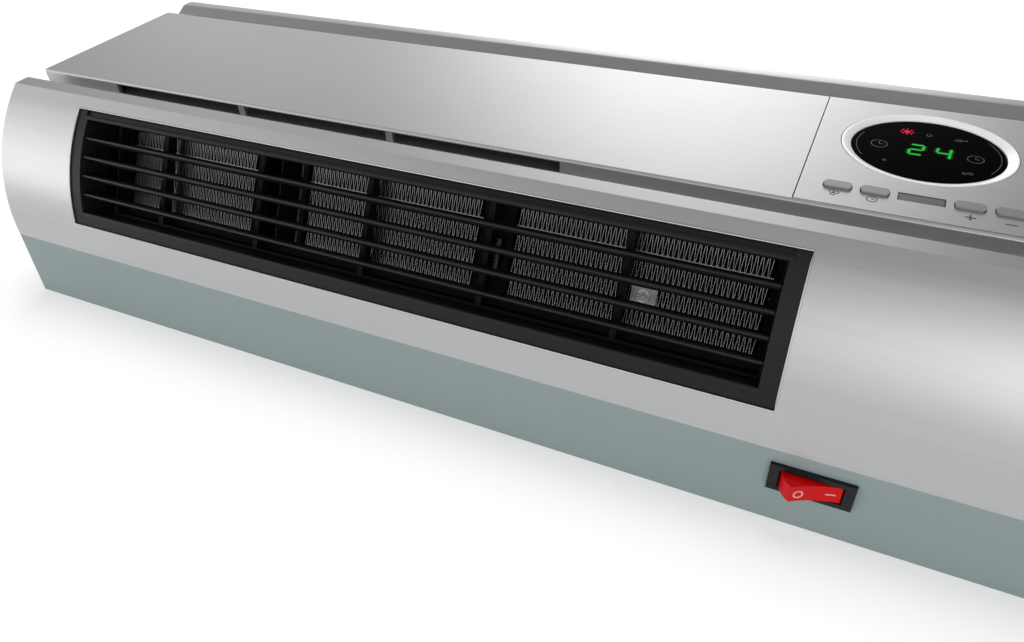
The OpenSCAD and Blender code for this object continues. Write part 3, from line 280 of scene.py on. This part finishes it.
def moulded(name, colour, roughness, grain=1500, depth=0.00002, mottle=0.06, **constants):
    """Plastic with pits of one grain and depth, and a faint mottle of the colour."""
    finish = Finish(name, **constants)
    pits = finish.noise(grain, detail=2)
    clouds = finish.noise(PLASTIC_CLOUDS, detail=3)
    dark, light = shade(colour, 1 - mottle), shade(colour, 1 + mottle)
    finish.set("Base Color", finish.tint(clouds, dark, light))
    finish.set("Roughness", roughness - 0.05 + clouds * 0.1)
    return finish.bump(pits, depth).material


for name, looks in PLASTICS.items():
    finishes[name] = moulded(name, **looks)
print(len(PLASTICS), "plastics and the like")

# %% [markdown]
# ## Metals
# Fins are thin aluminium foil, folded by machine, with fine rolling lines along the length. Their
# colour is a dull gray far darker than bare aluminium, as painted shade for their depth inside the
# outlet. Shafts, screws and brackets are plated steel. A metal needs little colour of its own, only
# the way it scatters light. Its lines could be cut into the mesh, but they are finer than a pixel,
# so relief in the shader is enough.

# %% Metal
METAL_RELIEF = 0.000006
METALS = {
    "steel": dict(colour=(0.60, 0.60, 0.62), roughness=0.24),
    "dark_steel": dict(colour=(0.26, 0.27, 0.29), roughness=0.36, lines=(1800, 60, 60)),
    # Painted shade: the fins' gray is darker than bare aluminium, for their depth in the outlet.
    "fin_foil": dict(colour=(0.36, 0.36, 0.365), roughness=0.36),
    "copper": dict(colour=(0.62, 0.26, 0.12), roughness=0.30),
    "bronze": dict(colour=(0.45, 0.29, 0.14), roughness=0.42),
}


def metal(name, colour, roughness, lines=(40, 1200, 1200)):
    """Bare or plated metal, with fine lines where it was rolled or ground."""
    finish = Finish(name, metallic=1.0)
    rolling = finish.noise(lines, detail=3)
    finish.set("Base Color", finish.tint(rolling, shade(colour, 0.86), shade(colour, 1.1)))
    finish.set("Roughness", roughness + rolling * 0.12)
    return finish.bump(rolling, METAL_RELIEF).material


for name, looks in METALS.items():
    finishes[name] = metal(name, **looks)
print(len(METALS), "metals")

# %% [markdown]
# ## Lit marks and prints
# The digits and one lamp glow. A tiny lamp behind each mark could light it, but a surface that
# sends out light by itself is simpler and adds no grain to the picture. Its light varies a little
# across each bar, as a light guide's does. The prints are thin ink, uneven where it didn't take.

# %% Glow and ink
GLOW_SPREAD, INK_GRAIN = 700, 1800


def glow(name, colour, strength):
    """A lit mark: it sends out its colour, and reflects next to nothing."""
    finish = Finish(name, base_color=shade(colour, 0.3), emission_strength=strength, roughness=0.4,
                    specular_ior_level=0.02)
    spread = finish.noise(GLOW_SPREAD, detail=1)
    return finish.set("Emission Color", finish.tint(spread, shade(colour, 0.6), colour)).material


def ink(name, colour, roughness=0.5):
    """Printed ink, uneven at a fine scale."""
    finish = Finish(name)
    taken = finish.noise(INK_GRAIN, detail=2)
    finish.set("Base Color", finish.tint(taken, shade(colour, 0.8), shade(colour, 1.2)))
    return finish.set("Roughness", roughness + taken * 0.1).material


digit_green = glow("digit_green", (0.014, 0.56, 0.05), 0.8)
halo_green = glow("halo_green", (0.0006, 0.020, 0.0020), 1.0)
lamp_red = glow("lamp_red", (0.85, 0.018, 0.07), 0.72)
faint_ink = ink("faint_ink", (0.040, 0.040, 0.042))
blue_ink = ink("blue_ink", (0.008, 0.008, 0.030))
dark_ink = ink("dark_ink", (0.060, 0.060, 0.064))
white_ink = ink("white_ink", (0.80, 0.42, 0.40))
print("glows", [made.name for made in (digit_green, halo_green, lamp_red)])
print("inks", [made.name for made in (faint_ink, blue_ink, dark_ink, white_ink)])

# %% [markdown]
# ## Dressing the imported pieces
# The record names a material slot for each node, and a slot has one finish, so a loop dresses them
# all. A few nodes need a finish of their own. The inside of the outlet is coloured darker than its
# frame, as painted shade for its depth. The heater's carrier, the fan and its housing are matt black
# made darker still. The ribs behind the blades are a little lighter, but they are also darkened as
# painted shade behind the blades. The small metal pieces among the fins are coloured nearly black,
# as painted shade deep in the outlet.

# %% Dress the nodes
MATT_GLOSS = 0.08
# Painted shade: the duct's black is darker than the frame's black, for the depth of the outlet.
duct_black_painted_shade = moulded("duct_black_painted_shade", (0.0035, 0.0035, 0.004), 0.6, specular_ior_level=MATT_GLOSS)
# Painted shade: the ribs behind the blades are darkened too, a little less than the duct.
rib_black_painted_shade = moulded("rib_black_painted_shade", (0.008, 0.0079, 0.0083), 0.5, specular_ior_level=MATT_GLOSS)
cutout_skin = metal("cutout_skin", (0.36, 0.395, 0.38), 0.42, lines=(700, 700, 700))
# Painted shade: the small metal pieces deep among the fins are coloured nearly black.
metal_painted_shade = metal("metal_painted_shade", (0.08, 0.08, 0.082), 0.5)
OWN_FINISH = {
    "heater_carrier": duct_black_painted_shade,
    "scroll_housing": duct_black_painted_shade,
    "fan_drum": duct_black_painted_shade,
    "outlet_guard": rib_black_painted_shade,
    "thermal_cutout": cutout_skin,
    "thermal_fuse": metal_painted_shade,
    "heater_terminals": metal_painted_shade,
}

slot_of = {part["node"]: part["material_slot"] for part in frame["record"]["subparts"]}
for node, slot in slot_of.items():
    materials = frame["nodes"][node].data.materials
    materials.clear()
    materials.append(OWN_FINISH.get(node, finishes[slot]))
print(len(finishes), "finishes on", len(slot_of), "nodes")
print(len(OWN_FINISH), "nodes have one of their own")

# %% [markdown]
# ## Soft edges
# A moulded edge is never a knife edge: it has a small radius that catches a bright line of light.
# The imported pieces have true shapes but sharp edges. So a copy of most visible pieces is welded,
# its flat triangles are dissolved into whole faces, and every edge that turns by more than some
# angle is bevelled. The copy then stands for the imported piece. Weighted normals keep the flat faces
# flat next to their rounded edges. The blades and the fins stay as they are packed, because they
# are so thin that a radius wouldn't show.

# %% Make a new piece
def add_piece(name, mesh, body, slot, material=None):
    """Links a mesh as a piece that rides on a body and has one finish."""
    piece = bpy.data.objects.new(name, mesh)
    bpy.context.scene.collection.objects.link(piece)
    mesh.materials.clear()
    mesh.materials.append(material or finishes[slot])
    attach(piece, body)
    return piece


# %% Round the edges of a piece
WELD = 0.000002
FLAT_WITHIN = math.radians(0.4)
BEVEL_OVER = math.radians(24)
CREASE_OVER = math.radians(50)
EDGE_RADII = {
    "front_shell": 0.9, "rear_casing": 0.6, "front_plate": 0.6, "control_panel": 0.25,
    "outlet_frame": 0.4, "display_window": 0.3, "receiver_window": 0.2, "switch_housing": 0.45,
    "rocker": 0.5, "outlet_guard": 0.3, "heat_button": 0.5, "timer_button": 0.5,
    "plus_button": 0.5, "minus_button": 0.5, "intake_grille": 0.25, "cable_bushing": 0.5,
    "thermal_cutout": 1.6, "cutout_screw": 0.15,
}


def rounded(node, radius):
    """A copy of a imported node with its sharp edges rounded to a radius; it replaces the node."""
    source = frame["nodes"][node]
    bm = bmesh.new()
    bm.from_mesh(source.data)
    bmesh.ops.remove_doubles(bm, verts=bm.verts, dist=WELD)
    bmesh.ops.dissolve_limit(bm, angle_limit=FLAT_WITHIN, verts=bm.verts, edges=bm.edges)
    inner = [edge for edge in bm.edges if len(edge.link_faces) == 2]
    sharp = [edge for edge in inner if edge.calc_face_angle(0) > BEVEL_OVER]
    bmesh.ops.bevel(bm, geom=sharp, offset=radius, offset_type="OFFSET", segments=2, profile=0.5,
                    affect="EDGES", clamp_overlap=True)
    mesh = bpy.data.meshes.new(node + "_rounded")
    bm.to_mesh(mesh)
    bm.free()
    mesh.shade_smooth()
    mesh.set_sharp_from_angle(angle=CREASE_OVER)
    body, slot = source["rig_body"], slot_of[node]
    piece = add_piece(node + "_rounded", mesh, body, slot, OWN_FINISH.get(node))
    keep_flat = piece.modifiers.new("keep_flat", "WEIGHTED_NORMAL")
    keep_flat.keep_sharp = True
    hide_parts(node)
    return piece


for node, radius in EDGE_RADII.items():
    piece = rounded(node, radius * MM)
    print(node, len(piece.data.polygons), "faces")

# %% [markdown]
# ## The ring around the display
# The window sits a millimetre below the panel. A bright ring slopes down to it like a shallow dish,
# with a small rounded rim outside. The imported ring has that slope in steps. Here the same section
# is drawn as a smooth line and swept around the window's oval, so the light runs around it
# unbroken.

# %% A skin through loops of points
def skin(name, loops):
    """A smooth surface through loops of points, in millimetres. The last loop meets the first."""
    count = len(loops[0])
    faces = []
    for here in range(len(loops)):
        after = (here + 1) % len(loops)
        for k in range(count):
            upper = (k + 1) % count
            faces.append((here * count + k, here * count + upper,
                          after * count + upper, after * count + k))
    mesh = bpy.data.meshes.new(name)
    mesh.from_pydata([Vector(point) * MM for loop in loops for point in loop], [], faces)
    mesh.shade_smooth()
    return mesh


# %% Sweep the ring
window_low, window_high = (Vector(corner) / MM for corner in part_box("display_window"))
ring_low, ring_high = (Vector(corner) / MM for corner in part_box("display_ring"))
LENS_LAP = 1.5
WINDOW_FACE, RING_TOP = window_low.y, ring_low.y
window_middle = ((ring_low.x + ring_high.x) / 2, (ring_low.z + ring_high.z) / 2)
window_half = ((window_high.x - window_low.x) / 2 - LENS_LAP,
               (window_high.z - window_low.z) / 2 - LENS_LAP)
# Each point of the section is a distance out from the visible window, and a depth under the top.
RING_SECTION = [(4.1, 2.2), (4.1, 0.2), (4.02, 0.07), (3.85, 0.0), (3.6, 0.0), (3.3, 0.04),
                (2.6, 0.2), (1.8, 0.48), (1.0, 0.82), (0.5, 1.1), (0.32, 1.25), (0.3, 1.4),
                (0.3, 2.2)]
RING_STEPS = 180
RING_CREASE = math.radians(40)


def oval_point(grow, turn):
    """A point of the window's oval, grown by some millimetres, at an angle in degrees."""
    angle = math.radians(turn)
    return (window_middle[0] + (window_half[0] + grow) * math.cos(angle),
            window_middle[1] + (window_half[1] + grow) * math.sin(angle))


def ring_loop(turn):
    """The ring's section, stood across the oval at an angle in degrees."""
    loop = []
    for grow, depth in RING_SECTION:
        x, z = oval_point(grow, turn)
        loop.append((x, RING_TOP + depth, z))
    return loop


ring_loops = [ring_loop(360 * k / RING_STEPS) for k in range(RING_STEPS)]
ring_mesh = skin("display_ring_smooth", ring_loops)
ring_mesh.set_sharp_from_angle(angle=RING_CREASE)
ring = add_piece("display_ring_smooth", ring_mesh, "casing", "ring_paint")
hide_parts("display_ring")
print("window middle", [round(v, 2) for v in window_middle],
      "half", [round(v, 2) for v in window_half])

# %% [markdown]
# ## The rim of the outlet's cut-out
# The silver shell is rolled over a little where it is cut out for the outlet, and that edge draws a
# thin bright line around the dark frame. A wider bevel would draw it too, but would round all of
# the shell's other edges with it. So the line is a fine tube that follows the cut-out: straight
# along the length, and curved with the front at both ends.

# %% Sweep the rim
# The front's curve: its middle as (y, z), its radius, and the cut-out's edges on it in degrees.
CURVE_MIDDLE, CURVE_R = (-35.1, 12.671), 99.0
RIM_TURNS = (222.96, 258.49)
RIM_R, RIM_STEPS, RIM_SIDES = 0.38, 12, 8
FRAME_LAP = 3.7
frame_low, frame_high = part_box("outlet_frame")
RIM_X = (frame_low[0] / MM + FRAME_LAP, frame_high[0] / MM - FRAME_LAP)


def rim_path():
    """Points along the cut-out's edge, each with the direction out of the curve there."""
    step = (RIM_TURNS[1] - RIM_TURNS[0]) / RIM_STEPS
    turns = [RIM_TURNS[0] + step * k for k in range(RIM_STEPS + 1)]
    corners = [(RIM_X[0], turn) for turn in turns] + [(RIM_X[1], turn) for turn in reversed(turns)]
    path = []
    for x, turn in corners:
        out = Vector((0, math.cos(math.radians(turn)), math.sin(math.radians(turn))))
        path.append((Vector((x, *CURVE_MIDDLE)) + out * CURVE_R, out))
    return path


def tube_loops(path, radius, sides):
    """Circles of points around a closed path."""
    loops = []
    for k, (point, out) in enumerate(path):
        along = (path[(k + 1) % len(path)][0] - path[k - 1][0]).normalized()
        side = along.cross(out).normalized()
        turns = [2 * math.pi * j / sides for j in range(sides)]
        loops.append([point + (out * math.cos(turn) + side * math.sin(turn)) * radius
                      for turn in turns])
    return loops


rim_mesh = skin("cutout_rim", tube_loops(rim_path(), RIM_R, RIM_SIDES))
add_piece("cutout_rim", rim_mesh, "casing", "silver_paint")
print("rim of", len(rim_path()), "points, from x =", round(RIM_X[0], 1), "to", round(RIM_X[1], 1))

# %% [markdown]
# ## Marks
# Every mark is a set of flat shapes: bars, arcs and discs. An image could carry them, but shapes
# stay sharp however close the camera comes, and need no file. They are drawn in two dimensions, in
# millimetres, laid on the surface that carries them by a small function, and given the thickness of
# a print by a Solidify modifier.

# %% Flat shapes
def bar(x0, z0, x1, z1, width, point=0.0):
    """A straight bar as one polygon. Its ends can be pointed, as a digit's are."""
    start, end = Vector((x0, z0)), Vector((x1, z1))
    along = (end - start).normalized()
    side = Vector((-along.y, along.x)) * width / 2
    if point == 0:
        return [start + side, start - side, end - side, end + side]
    tip = along * point
    return [start + side, start - tip, start - side, end - side, end + tip, end + side]


def ribbon(edge, steps):
    """A strip of four-sided shapes. edge gives a point, from a side of -1 or 1 and a share."""
    shapes = []
    for k in range(steps):
        now, after = k / steps, (k + 1) / steps
        shapes.append([edge(-1, now), edge(1, now), edge(1, after), edge(-1, after)])
    return shapes


def arc(x, z, radius, width, start=0, end=360, steps=28):
    """An arc or a ring, between two angles in degrees."""
    def edge(side, share):
        turn = math.radians(start + (end - start) * share)
        reach = radius + side * width / 2
        return x + reach * math.cos(turn), z + reach * math.sin(turn)

    return ribbon(edge, steps)


def disc(x, z, radius, steps):
    """A filled disc: a ring whose inner edge has shrunk to its middle."""
    return arc(x, z, radius / 2, radius, steps=steps)


# %% Lay the shapes on a surface
PRINT = 0.05


def add_marks(name, shapes, lay, body, slot, material):
    """Lays flat shapes on a surface with a function of (x, z), and makes them a thin piece."""
    bm = bmesh.new()
    for shape in shapes:
        bm.faces.new([bm.verts.new(Vector(lay(x, z)) * MM) for x, z in shape])
    bmesh.ops.remove_doubles(bm, verts=bm.verts, dist=WELD)
    mesh = bpy.data.meshes.new(name)
    bm.to_mesh(mesh)
    bm.free()
    piece = add_piece(name, mesh, body, slot, material)
    print_depth = piece.modifiers.new("print_depth", "SOLIDIFY")
    print_depth.thickness = PRINT * MM
    print_depth.offset = 0
    return piece


def flat_at(y):
    """A function that lays a drawing flat on the plane at y."""
    return lambda x, z: (x, y, z)


PANEL_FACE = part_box("control_panel")[0][1] / MM
on_window = flat_at(WINDOW_FACE - PRINT / 2)
under_window_marks = flat_at(WINDOW_FACE)
on_panel = flat_at(PANEL_FACE - PRINT / 2)
print("marks lie at y =", round(WINDOW_FACE, 2), "and", round(PANEL_FACE, 2))

# %% [markdown]
# The display shows a temperature in two green digits of seven bars, leaning a little to the right.
# A digit is drawn from the letters that its bars are known by. Behind each digit lies a wider and
# much dimmer copy, for the light that spreads inside the dark window.

# %% The digits
DIGIT_W, DIGIT_H, LEAN, STROKE, HALO = 4.9, 8.4, 0.08, 1.0, 2.6
# The two ends of each bar, counted in widths and half heights of the digit.
BARS = {"a": (0, 2, 1, 2), "b": (1, 1, 1, 2), "c": (1, 0, 1, 1), "d": (0, 0, 1, 0),
        "e": (0, 0, 0, 1), "f": (0, 1, 0, 2), "g": (0, 1, 1, 1)}
BAR_GAP = 0.42
TWO, FOUR = "abged", "fgbc"
TENS_X, UNITS_X, DIGITS_Z = 178.35, 188.45, 22.0


def digit(letters, x, z, stroke):
    """A digit from some of its seven bars, with its lower left corner at a place."""
    shapes = []
    for letter in letters:
        u0, v0, u1, v1 = BARS[letter]
        du, dv = (BAR_GAP, 0) if v0 == v1 else (0, BAR_GAP)
        ends = (u0 * DIGIT_W + du, v0 * DIGIT_H / 2 + dv, u1 * DIGIT_W - du, v1 * DIGIT_H / 2 - dv)
        shapes.append([(x + u + v * LEAN, z + v) for u, v in bar(*ends, stroke, stroke / 3)])
    return shapes


def reading(stroke):
    """Both digits, with bars of some width."""
    return digit(TWO, TENS_X, DIGITS_Z, stroke) + digit(FOUR, UNITS_X, DIGITS_Z, stroke)


add_marks("display_digits", reading(STROKE), on_window, "casing", "lens", digit_green)
add_marks("digit_halo", reading(HALO), under_window_marks, "casing", "lens", halo_green)
print("2 digits,", len(reading(STROKE)), "lit bars")

# %% [markdown]
# Around the digits are lamps and small signs: one lamp is lit red, like a small sun, and the others
# are unlit and only just visible in the dark window. A fine arc runs inside the window's edge at
# both ends. Each sign is a short function of its place and size, so that the same clock can stand
# here and under a button.

# %% Signs
def clock(x, z, radius, width):
    """A ring with one hand up and one to the right."""
    up, right = radius * 0.6, radius * 0.5
    hands = [bar(x, z, x, z + up, width), bar(x, z, x + right, z, width)]
    return arc(x, z, radius, width) + hands


def sun(x, z, radius, rays=8):
    """A disc with short rays around it."""
    core, ray_start, ray_width = radius * 0.44, radius * 0.62, radius * 0.2
    shapes = disc(x, z, core, steps=16)
    for k in range(rays):
        turn = math.radians(360 * k / rays)
        toward = Vector((math.cos(turn), math.sin(turn)))
        inner, outer = toward * ray_start, toward * radius
        shapes.append(bar(x + inner.x, z + inner.y, x + outer.x, z + outer.y, ray_width))
    return shapes


def fan_sign(x, z, radius, width):
    """A hub with three curved blades."""
    hub, blade_out, blade_r, first_blade = radius * 0.32, radius * 0.55, radius * 0.45, 20
    shapes = disc(x, z, hub, steps=12)
    for k in range(3):
        turn = 120 * k + first_blade
        toward = Vector((math.cos(math.radians(turn)), math.sin(math.radians(turn))))
        middle = Vector((x, z)) + toward * blade_out
        shapes += arc(*middle, blade_r, width, turn - 150, turn + 90, steps=12)
    return shapes


def plus_sign(x, z, half_width, half_height, line):
    """A bar across, with one below and one above it."""
    return [bar(x - half_width, z, x + half_width, z, line),
            bar(x, z - half_height, x, z - line / 2, line),
            bar(x, z + line / 2, x, z + half_height, line)]


# %% The display's lamps and signs
# A ring is x, z, radius and line; a bar is its two ends and its line.
LIT_LAMP, LIT_LAMP_R = (176.6, 41.4), 2.7
BLUE_LAMP = (185.1, 40.7, 0.9, 0.5)
CLOCKS = [(167.0, 27.0, 3.1, 0.36), (202.85, 24.95, 3.0, 0.36)]
RING_WITH_BARS = (196.6, 39.6, 0.9, 0.5)
ITS_BARS = [(198.0, 39.9, 199.6, 40.1, 0.7), (194.6, 39.3, 195.3, 39.4, 0.6)]
SMALL_RINGS = [(170.3, 13.5, 0.5, 0.4), (199.3, 12.0, 0.8, 0.35), (201.4, 12.4, 0.8, 0.35)]

add_marks("display_lamp", sun(*LIT_LAMP, LIT_LAMP_R), on_window, "casing", "lens", lamp_red)
add_marks("display_lamp_off", arc(*BLUE_LAMP), on_window, "casing", "lens", blue_ink)
faint = [shape for place in CLOCKS for shape in clock(*place)]
faint += arc(*RING_WITH_BARS) + [bar(*ends) for ends in ITS_BARS]
faint += [shape for place in SMALL_RINGS for shape in arc(*place)]
add_marks("display_icons", faint, on_window, "casing", "lens", faint_ink)
print("2 lamps and", len(faint), "faint shapes")

# %% The arcs inside the window's edge
ARC_INSET, ARC_LINE, ARC_STEPS = 1.9, 0.3, 24
LEFT_ARC, RIGHT_ARC = (158, 208), (-30, 35)


def window_arc(start, end):
    """A fine arc that follows the window's oval, between two angles in degrees."""
    def edge(side, share):
        return oval_point(side * ARC_LINE / 2 - ARC_INSET, start + (end - start) * share)

    return ribbon(edge, ARC_STEPS)


arcs = window_arc(*LEFT_ARC) + window_arc(*RIGHT_ARC)
add_marks("display_arcs", arcs, on_window, "casing", "lens", faint_ink)
print("2 arcs of", ARC_STEPS, "shapes")

# %% [markdown]
# Under each button is its symbol in dark ink: a fan for heat, a clock for the timer, plus and
# minus. They are printed on the panel, so they lie on its face and take the print's thickness.

# %% Symbols under the buttons
HEAT_SIGN, TIMER_SIGN = (155.6, -20.7, 1.9, 0.42), (169.1, -20.9, 1.85, 0.36)
PLUS_SIGN = (202.0, -22.3, 1.85, 1.8, 0.72)
MINUS_X, MINUS_Z, MINUS_HALF, MINUS_LINE = 214.9, -22.6, 1.95, 0.68

symbols = fan_sign(*HEAT_SIGN) + clock(*TIMER_SIGN) + plus_sign(*PLUS_SIGN)
symbols.append(bar(MINUS_X - MINUS_HALF, MINUS_Z, MINUS_X + MINUS_HALF, MINUS_Z, MINUS_LINE))
add_marks("button_symbols", symbols, on_panel, "casing", "silver_paint", dark_ink)
print(len(symbols), "shapes under the buttons")

# %% [markdown]
# The rocker carries the usual ring for off and bar for on. Its face is dished and it rests tilted
# at one of its stops, so the marks are drawn in the rocker's own frame: along it, across it, and
# outward from its hinge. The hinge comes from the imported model. The bar is cut into short pieces,
# so that it bends with the dish. The marks ride on the rocker.

# %% Marks on the rocker
hinge = next(joint for joint in frame["joints"] if joint["name"] == "rocker_switch")
hinge_at, hinge_axis = Vector(hinge["pos_m"]) / MM, Vector(hinge["axis"])
# At rest it is at one stop, half of its travel away from level.
rest_tilt = math.radians(hinge["range_deg"][1] / 2)
FACE_HEIGHT, FACE_HALF, DISH_DEPTH = 6.587, 9.55, 1.0
OFF_RING, OFF_RING_STEPS = (-6.3, 0.3, 1.65, 0.6), 32
ON_BAR_START, ON_BAR_END, ON_BAR_ACROSS, ON_BAR_LINE, ON_BAR_PIECES = 3.75, 7.45, 0.1, 0.6, 5

outward = Vector((0, hinge_axis.z, -hinge_axis.y))
along_tilted = Vector((1, 0, 0)) * math.cos(rest_tilt) - outward * math.sin(rest_tilt)
out_tilted = outward * math.cos(rest_tilt) + Vector((1, 0, 0)) * math.sin(rest_tilt)


def on_rocker(x, across):
    """A point of the rocker's dished face, x along it from its middle."""
    height = FACE_HEIGHT - DISH_DEPTH * (1 - (x / FACE_HALF) ** 2) + PRINT / 2
    return hinge_at + along_tilted * x + hinge_axis * across + out_tilted * height


step = (ON_BAR_END - ON_BAR_START) / ON_BAR_PIECES
starts = [ON_BAR_START + step * k for k in range(ON_BAR_PIECES)]
strokes = arc(*OFF_RING, steps=OFF_RING_STEPS)
strokes += [bar(x, ON_BAR_ACROSS, x + step, ON_BAR_ACROSS, ON_BAR_LINE) for x in starts]
add_marks("rocker_marks", strokes, on_rocker, "rocker", "red_plastic", white_ink)
print("rocker marks", len(strokes), "shapes at", round(math.degrees(rest_tilt), 1), "degrees")

# %% [markdown]
# ## The floor and the light
# The floor is the wall plane, seen from the room's side only: from behind it turns transparent, so
# that the back of the heater can be looked at too. The heater's back almost touches it, so it is
# also clear to rays that started within a millimetre or so, and light from behind reaches that
# back. To the camera some emission is added to its plain diffuse white, and in mirrors a third of
# that. It lifts the open floor to white and keeps the shadow on it.

# %% The floor
# Lengths are in metres here.
FLOOR_HALF, FLOOR_GAP, CONTACT = 3.0, 0.0004, 0.0012
FLOOR_WHITE = (0.86, 0.86, 0.86)
FLOOR_LIFT, MIRROR_SHARE = 0.31, 0.33


def pale_floor():
    """White from the room's side, lifted for the camera, mirrors and glass; clear from behind."""
    finish = Finish("pale_floor", base_color=FLOOR_WHITE, roughness=0.7, specular_ior_level=0.0)
    by_camera = finish.node("LightPath", out="Is Camera Ray")
    by_mirror = finish.node("LightPath", out="Is Glossy Ray")
    by_glass = finish.node("LightPath", out="Is Transmission Ray")
    share = by_camera + by_mirror * MIRROR_SHARE + by_glass
    plain = Wire(finish.tree, finish.shader.outputs[0])
    lift = finish.node("Emission", inputs={"Color": (1, 1, 1, 1), "Strength": FLOOR_LIFT})
    lifted = finish.node("AddShader", inputs={0: plain, 1: lift})
    front = finish.node("MixShader", inputs={0: share, 1: plain, 2: lifted})
    behind = finish.node("NewGeometry", out="Backfacing")
    travelled = finish.node("LightPath", out="Ray Length")
    clear = behind + travelled.math("LESS_THAN", travelled, CONTACT)
    nothing = finish.node("BsdfTransparent")
    both = finish.node("MixShader", inputs={0: clear, 1: front, 2: nothing})
    feed(finish.tree, finish.tree.nodes["Material Output"].inputs["Surface"], both)
    return finish.material


floor_mesh = bpy.data.meshes.new("floor")
corners = [(-1, -1), (1, -1), (1, 1), (-1, 1)]
floor_points = [(x * FLOOR_HALF, FLOOR_GAP, z * FLOOR_HALF) for x, z in corners]
floor_mesh.from_pydata(floor_points, [], [(0, 1, 2, 3)])
floor_mesh.materials.append(pale_floor())
floor = bpy.data.objects.new("floor", floor_mesh)
bpy.context.scene.collection.objects.link(floor)
print("floor", 2 * FLOOR_HALF, "m across,", round(FLOOR_GAP / MM, 1), "mm behind the back")

# %% [markdown]
# A metal shows what stands around it, so the studio is made of soft glows in the world, one for
# each light that the silver shows, and one behind the wall plane for the back. A glow is a
# direction, a sharpness and a strength: exp(sharpness * (cosine - 1)) is 1 where it points and
# fades smoothly, as the bands on the silver do. Area lamps would leave hard edges in the silver,
# where these leave none. The camera sees plain white instead, so the glows show only in what they
# light.

# %% The world
GLOWS = [
    ((-0.099, -0.326, 0.940), 51, 2.4),   # beyond the top, for the plate
    ((-0.335, -0.292, 0.896), 53, 2.4),   # beside it, further left
    ((0.461, -0.370, -0.806), 12, 2.4),   # below, at the right
    ((-0.777, -0.001, -0.630), 5, 1.98),  # below, at the left
    ((-0.693, -0.256, 0.674), 40, 0.74),  # faint, beyond the top at the left
    ((0.1, 1.0, 0.05), 6, 1.3),           # behind the wall plane
]
ROOM_LEVEL = 0.2

world = bpy.data.worlds.new("studio")
bpy.context.scene.world = world
world.use_nodes = True
sky = world.node_tree
direction = add_node(sky, "TexCoord", out="Generated")
level = ROOM_LEVEL
for toward, sharpness, strength in GLOWS:
    vectors = {0: direction, 1: Vector(toward).normalized()}
    cosine = add_node(sky, "VectorMath", {"operation": "DOT_PRODUCT"}, vectors, out="Value")
    level = level + strength * math.e ** (sharpness * (cosine - 1))
feed(sky, sky.nodes["Background"].inputs["Strength"], level)
feed(sky, sky.nodes["Background"].inputs["Color"], (1, 1, 1, 1))
white = add_node(sky, "Background", None, {"Color": (1, 1, 1, 1), "Strength": 1.0})
camera_ray = add_node(sky, "LightPath", out="Is Camera Ray")
studio = Wire(sky, sky.nodes["Background"].outputs[0])
backdrop = add_node(sky, "MixShader", None, {0: camera_ray, 1: studio, 2: white})
feed(sky, sky.nodes["World Output"].inputs["Surface"], backdrop)
bpy.context.scene.view_settings.view_transform = "Standard"
print(len(GLOWS), "glows in the world")

# %% [markdown]
# A large soft box overhead adds the even light that the room gives, and the soft shadow on the
# floor. It is hidden from mirrors, because the silver shows a dark ceiling there, and from the
# camera.

# %% The soft box overhead
OVERHEAD_AT, OVERHEAD_AIM = Vector((0.1, -1.85, 0.65)), Vector((0.1, 0.0, 0.0))
OVERHEAD_SIZE, OVERHEAD_POWER = 1.0, 17.0

overhead = bpy.data.lights.new("overhead", "AREA")
overhead.shape = "SQUARE"
overhead.size = OVERHEAD_SIZE
overhead.energy = OVERHEAD_POWER
lamp = bpy.data.objects.new("overhead", overhead)
lamp.location = OVERHEAD_AT
lamp.rotation_euler = (OVERHEAD_AIM - OVERHEAD_AT).to_track_quat("-Z", "Y").to_euler()
lamp.visible_camera = False
lamp.visible_glossy = False
bpy.context.scene.collection.objects.link(lamp)
print("overhead lamp", overhead.energy, "W")
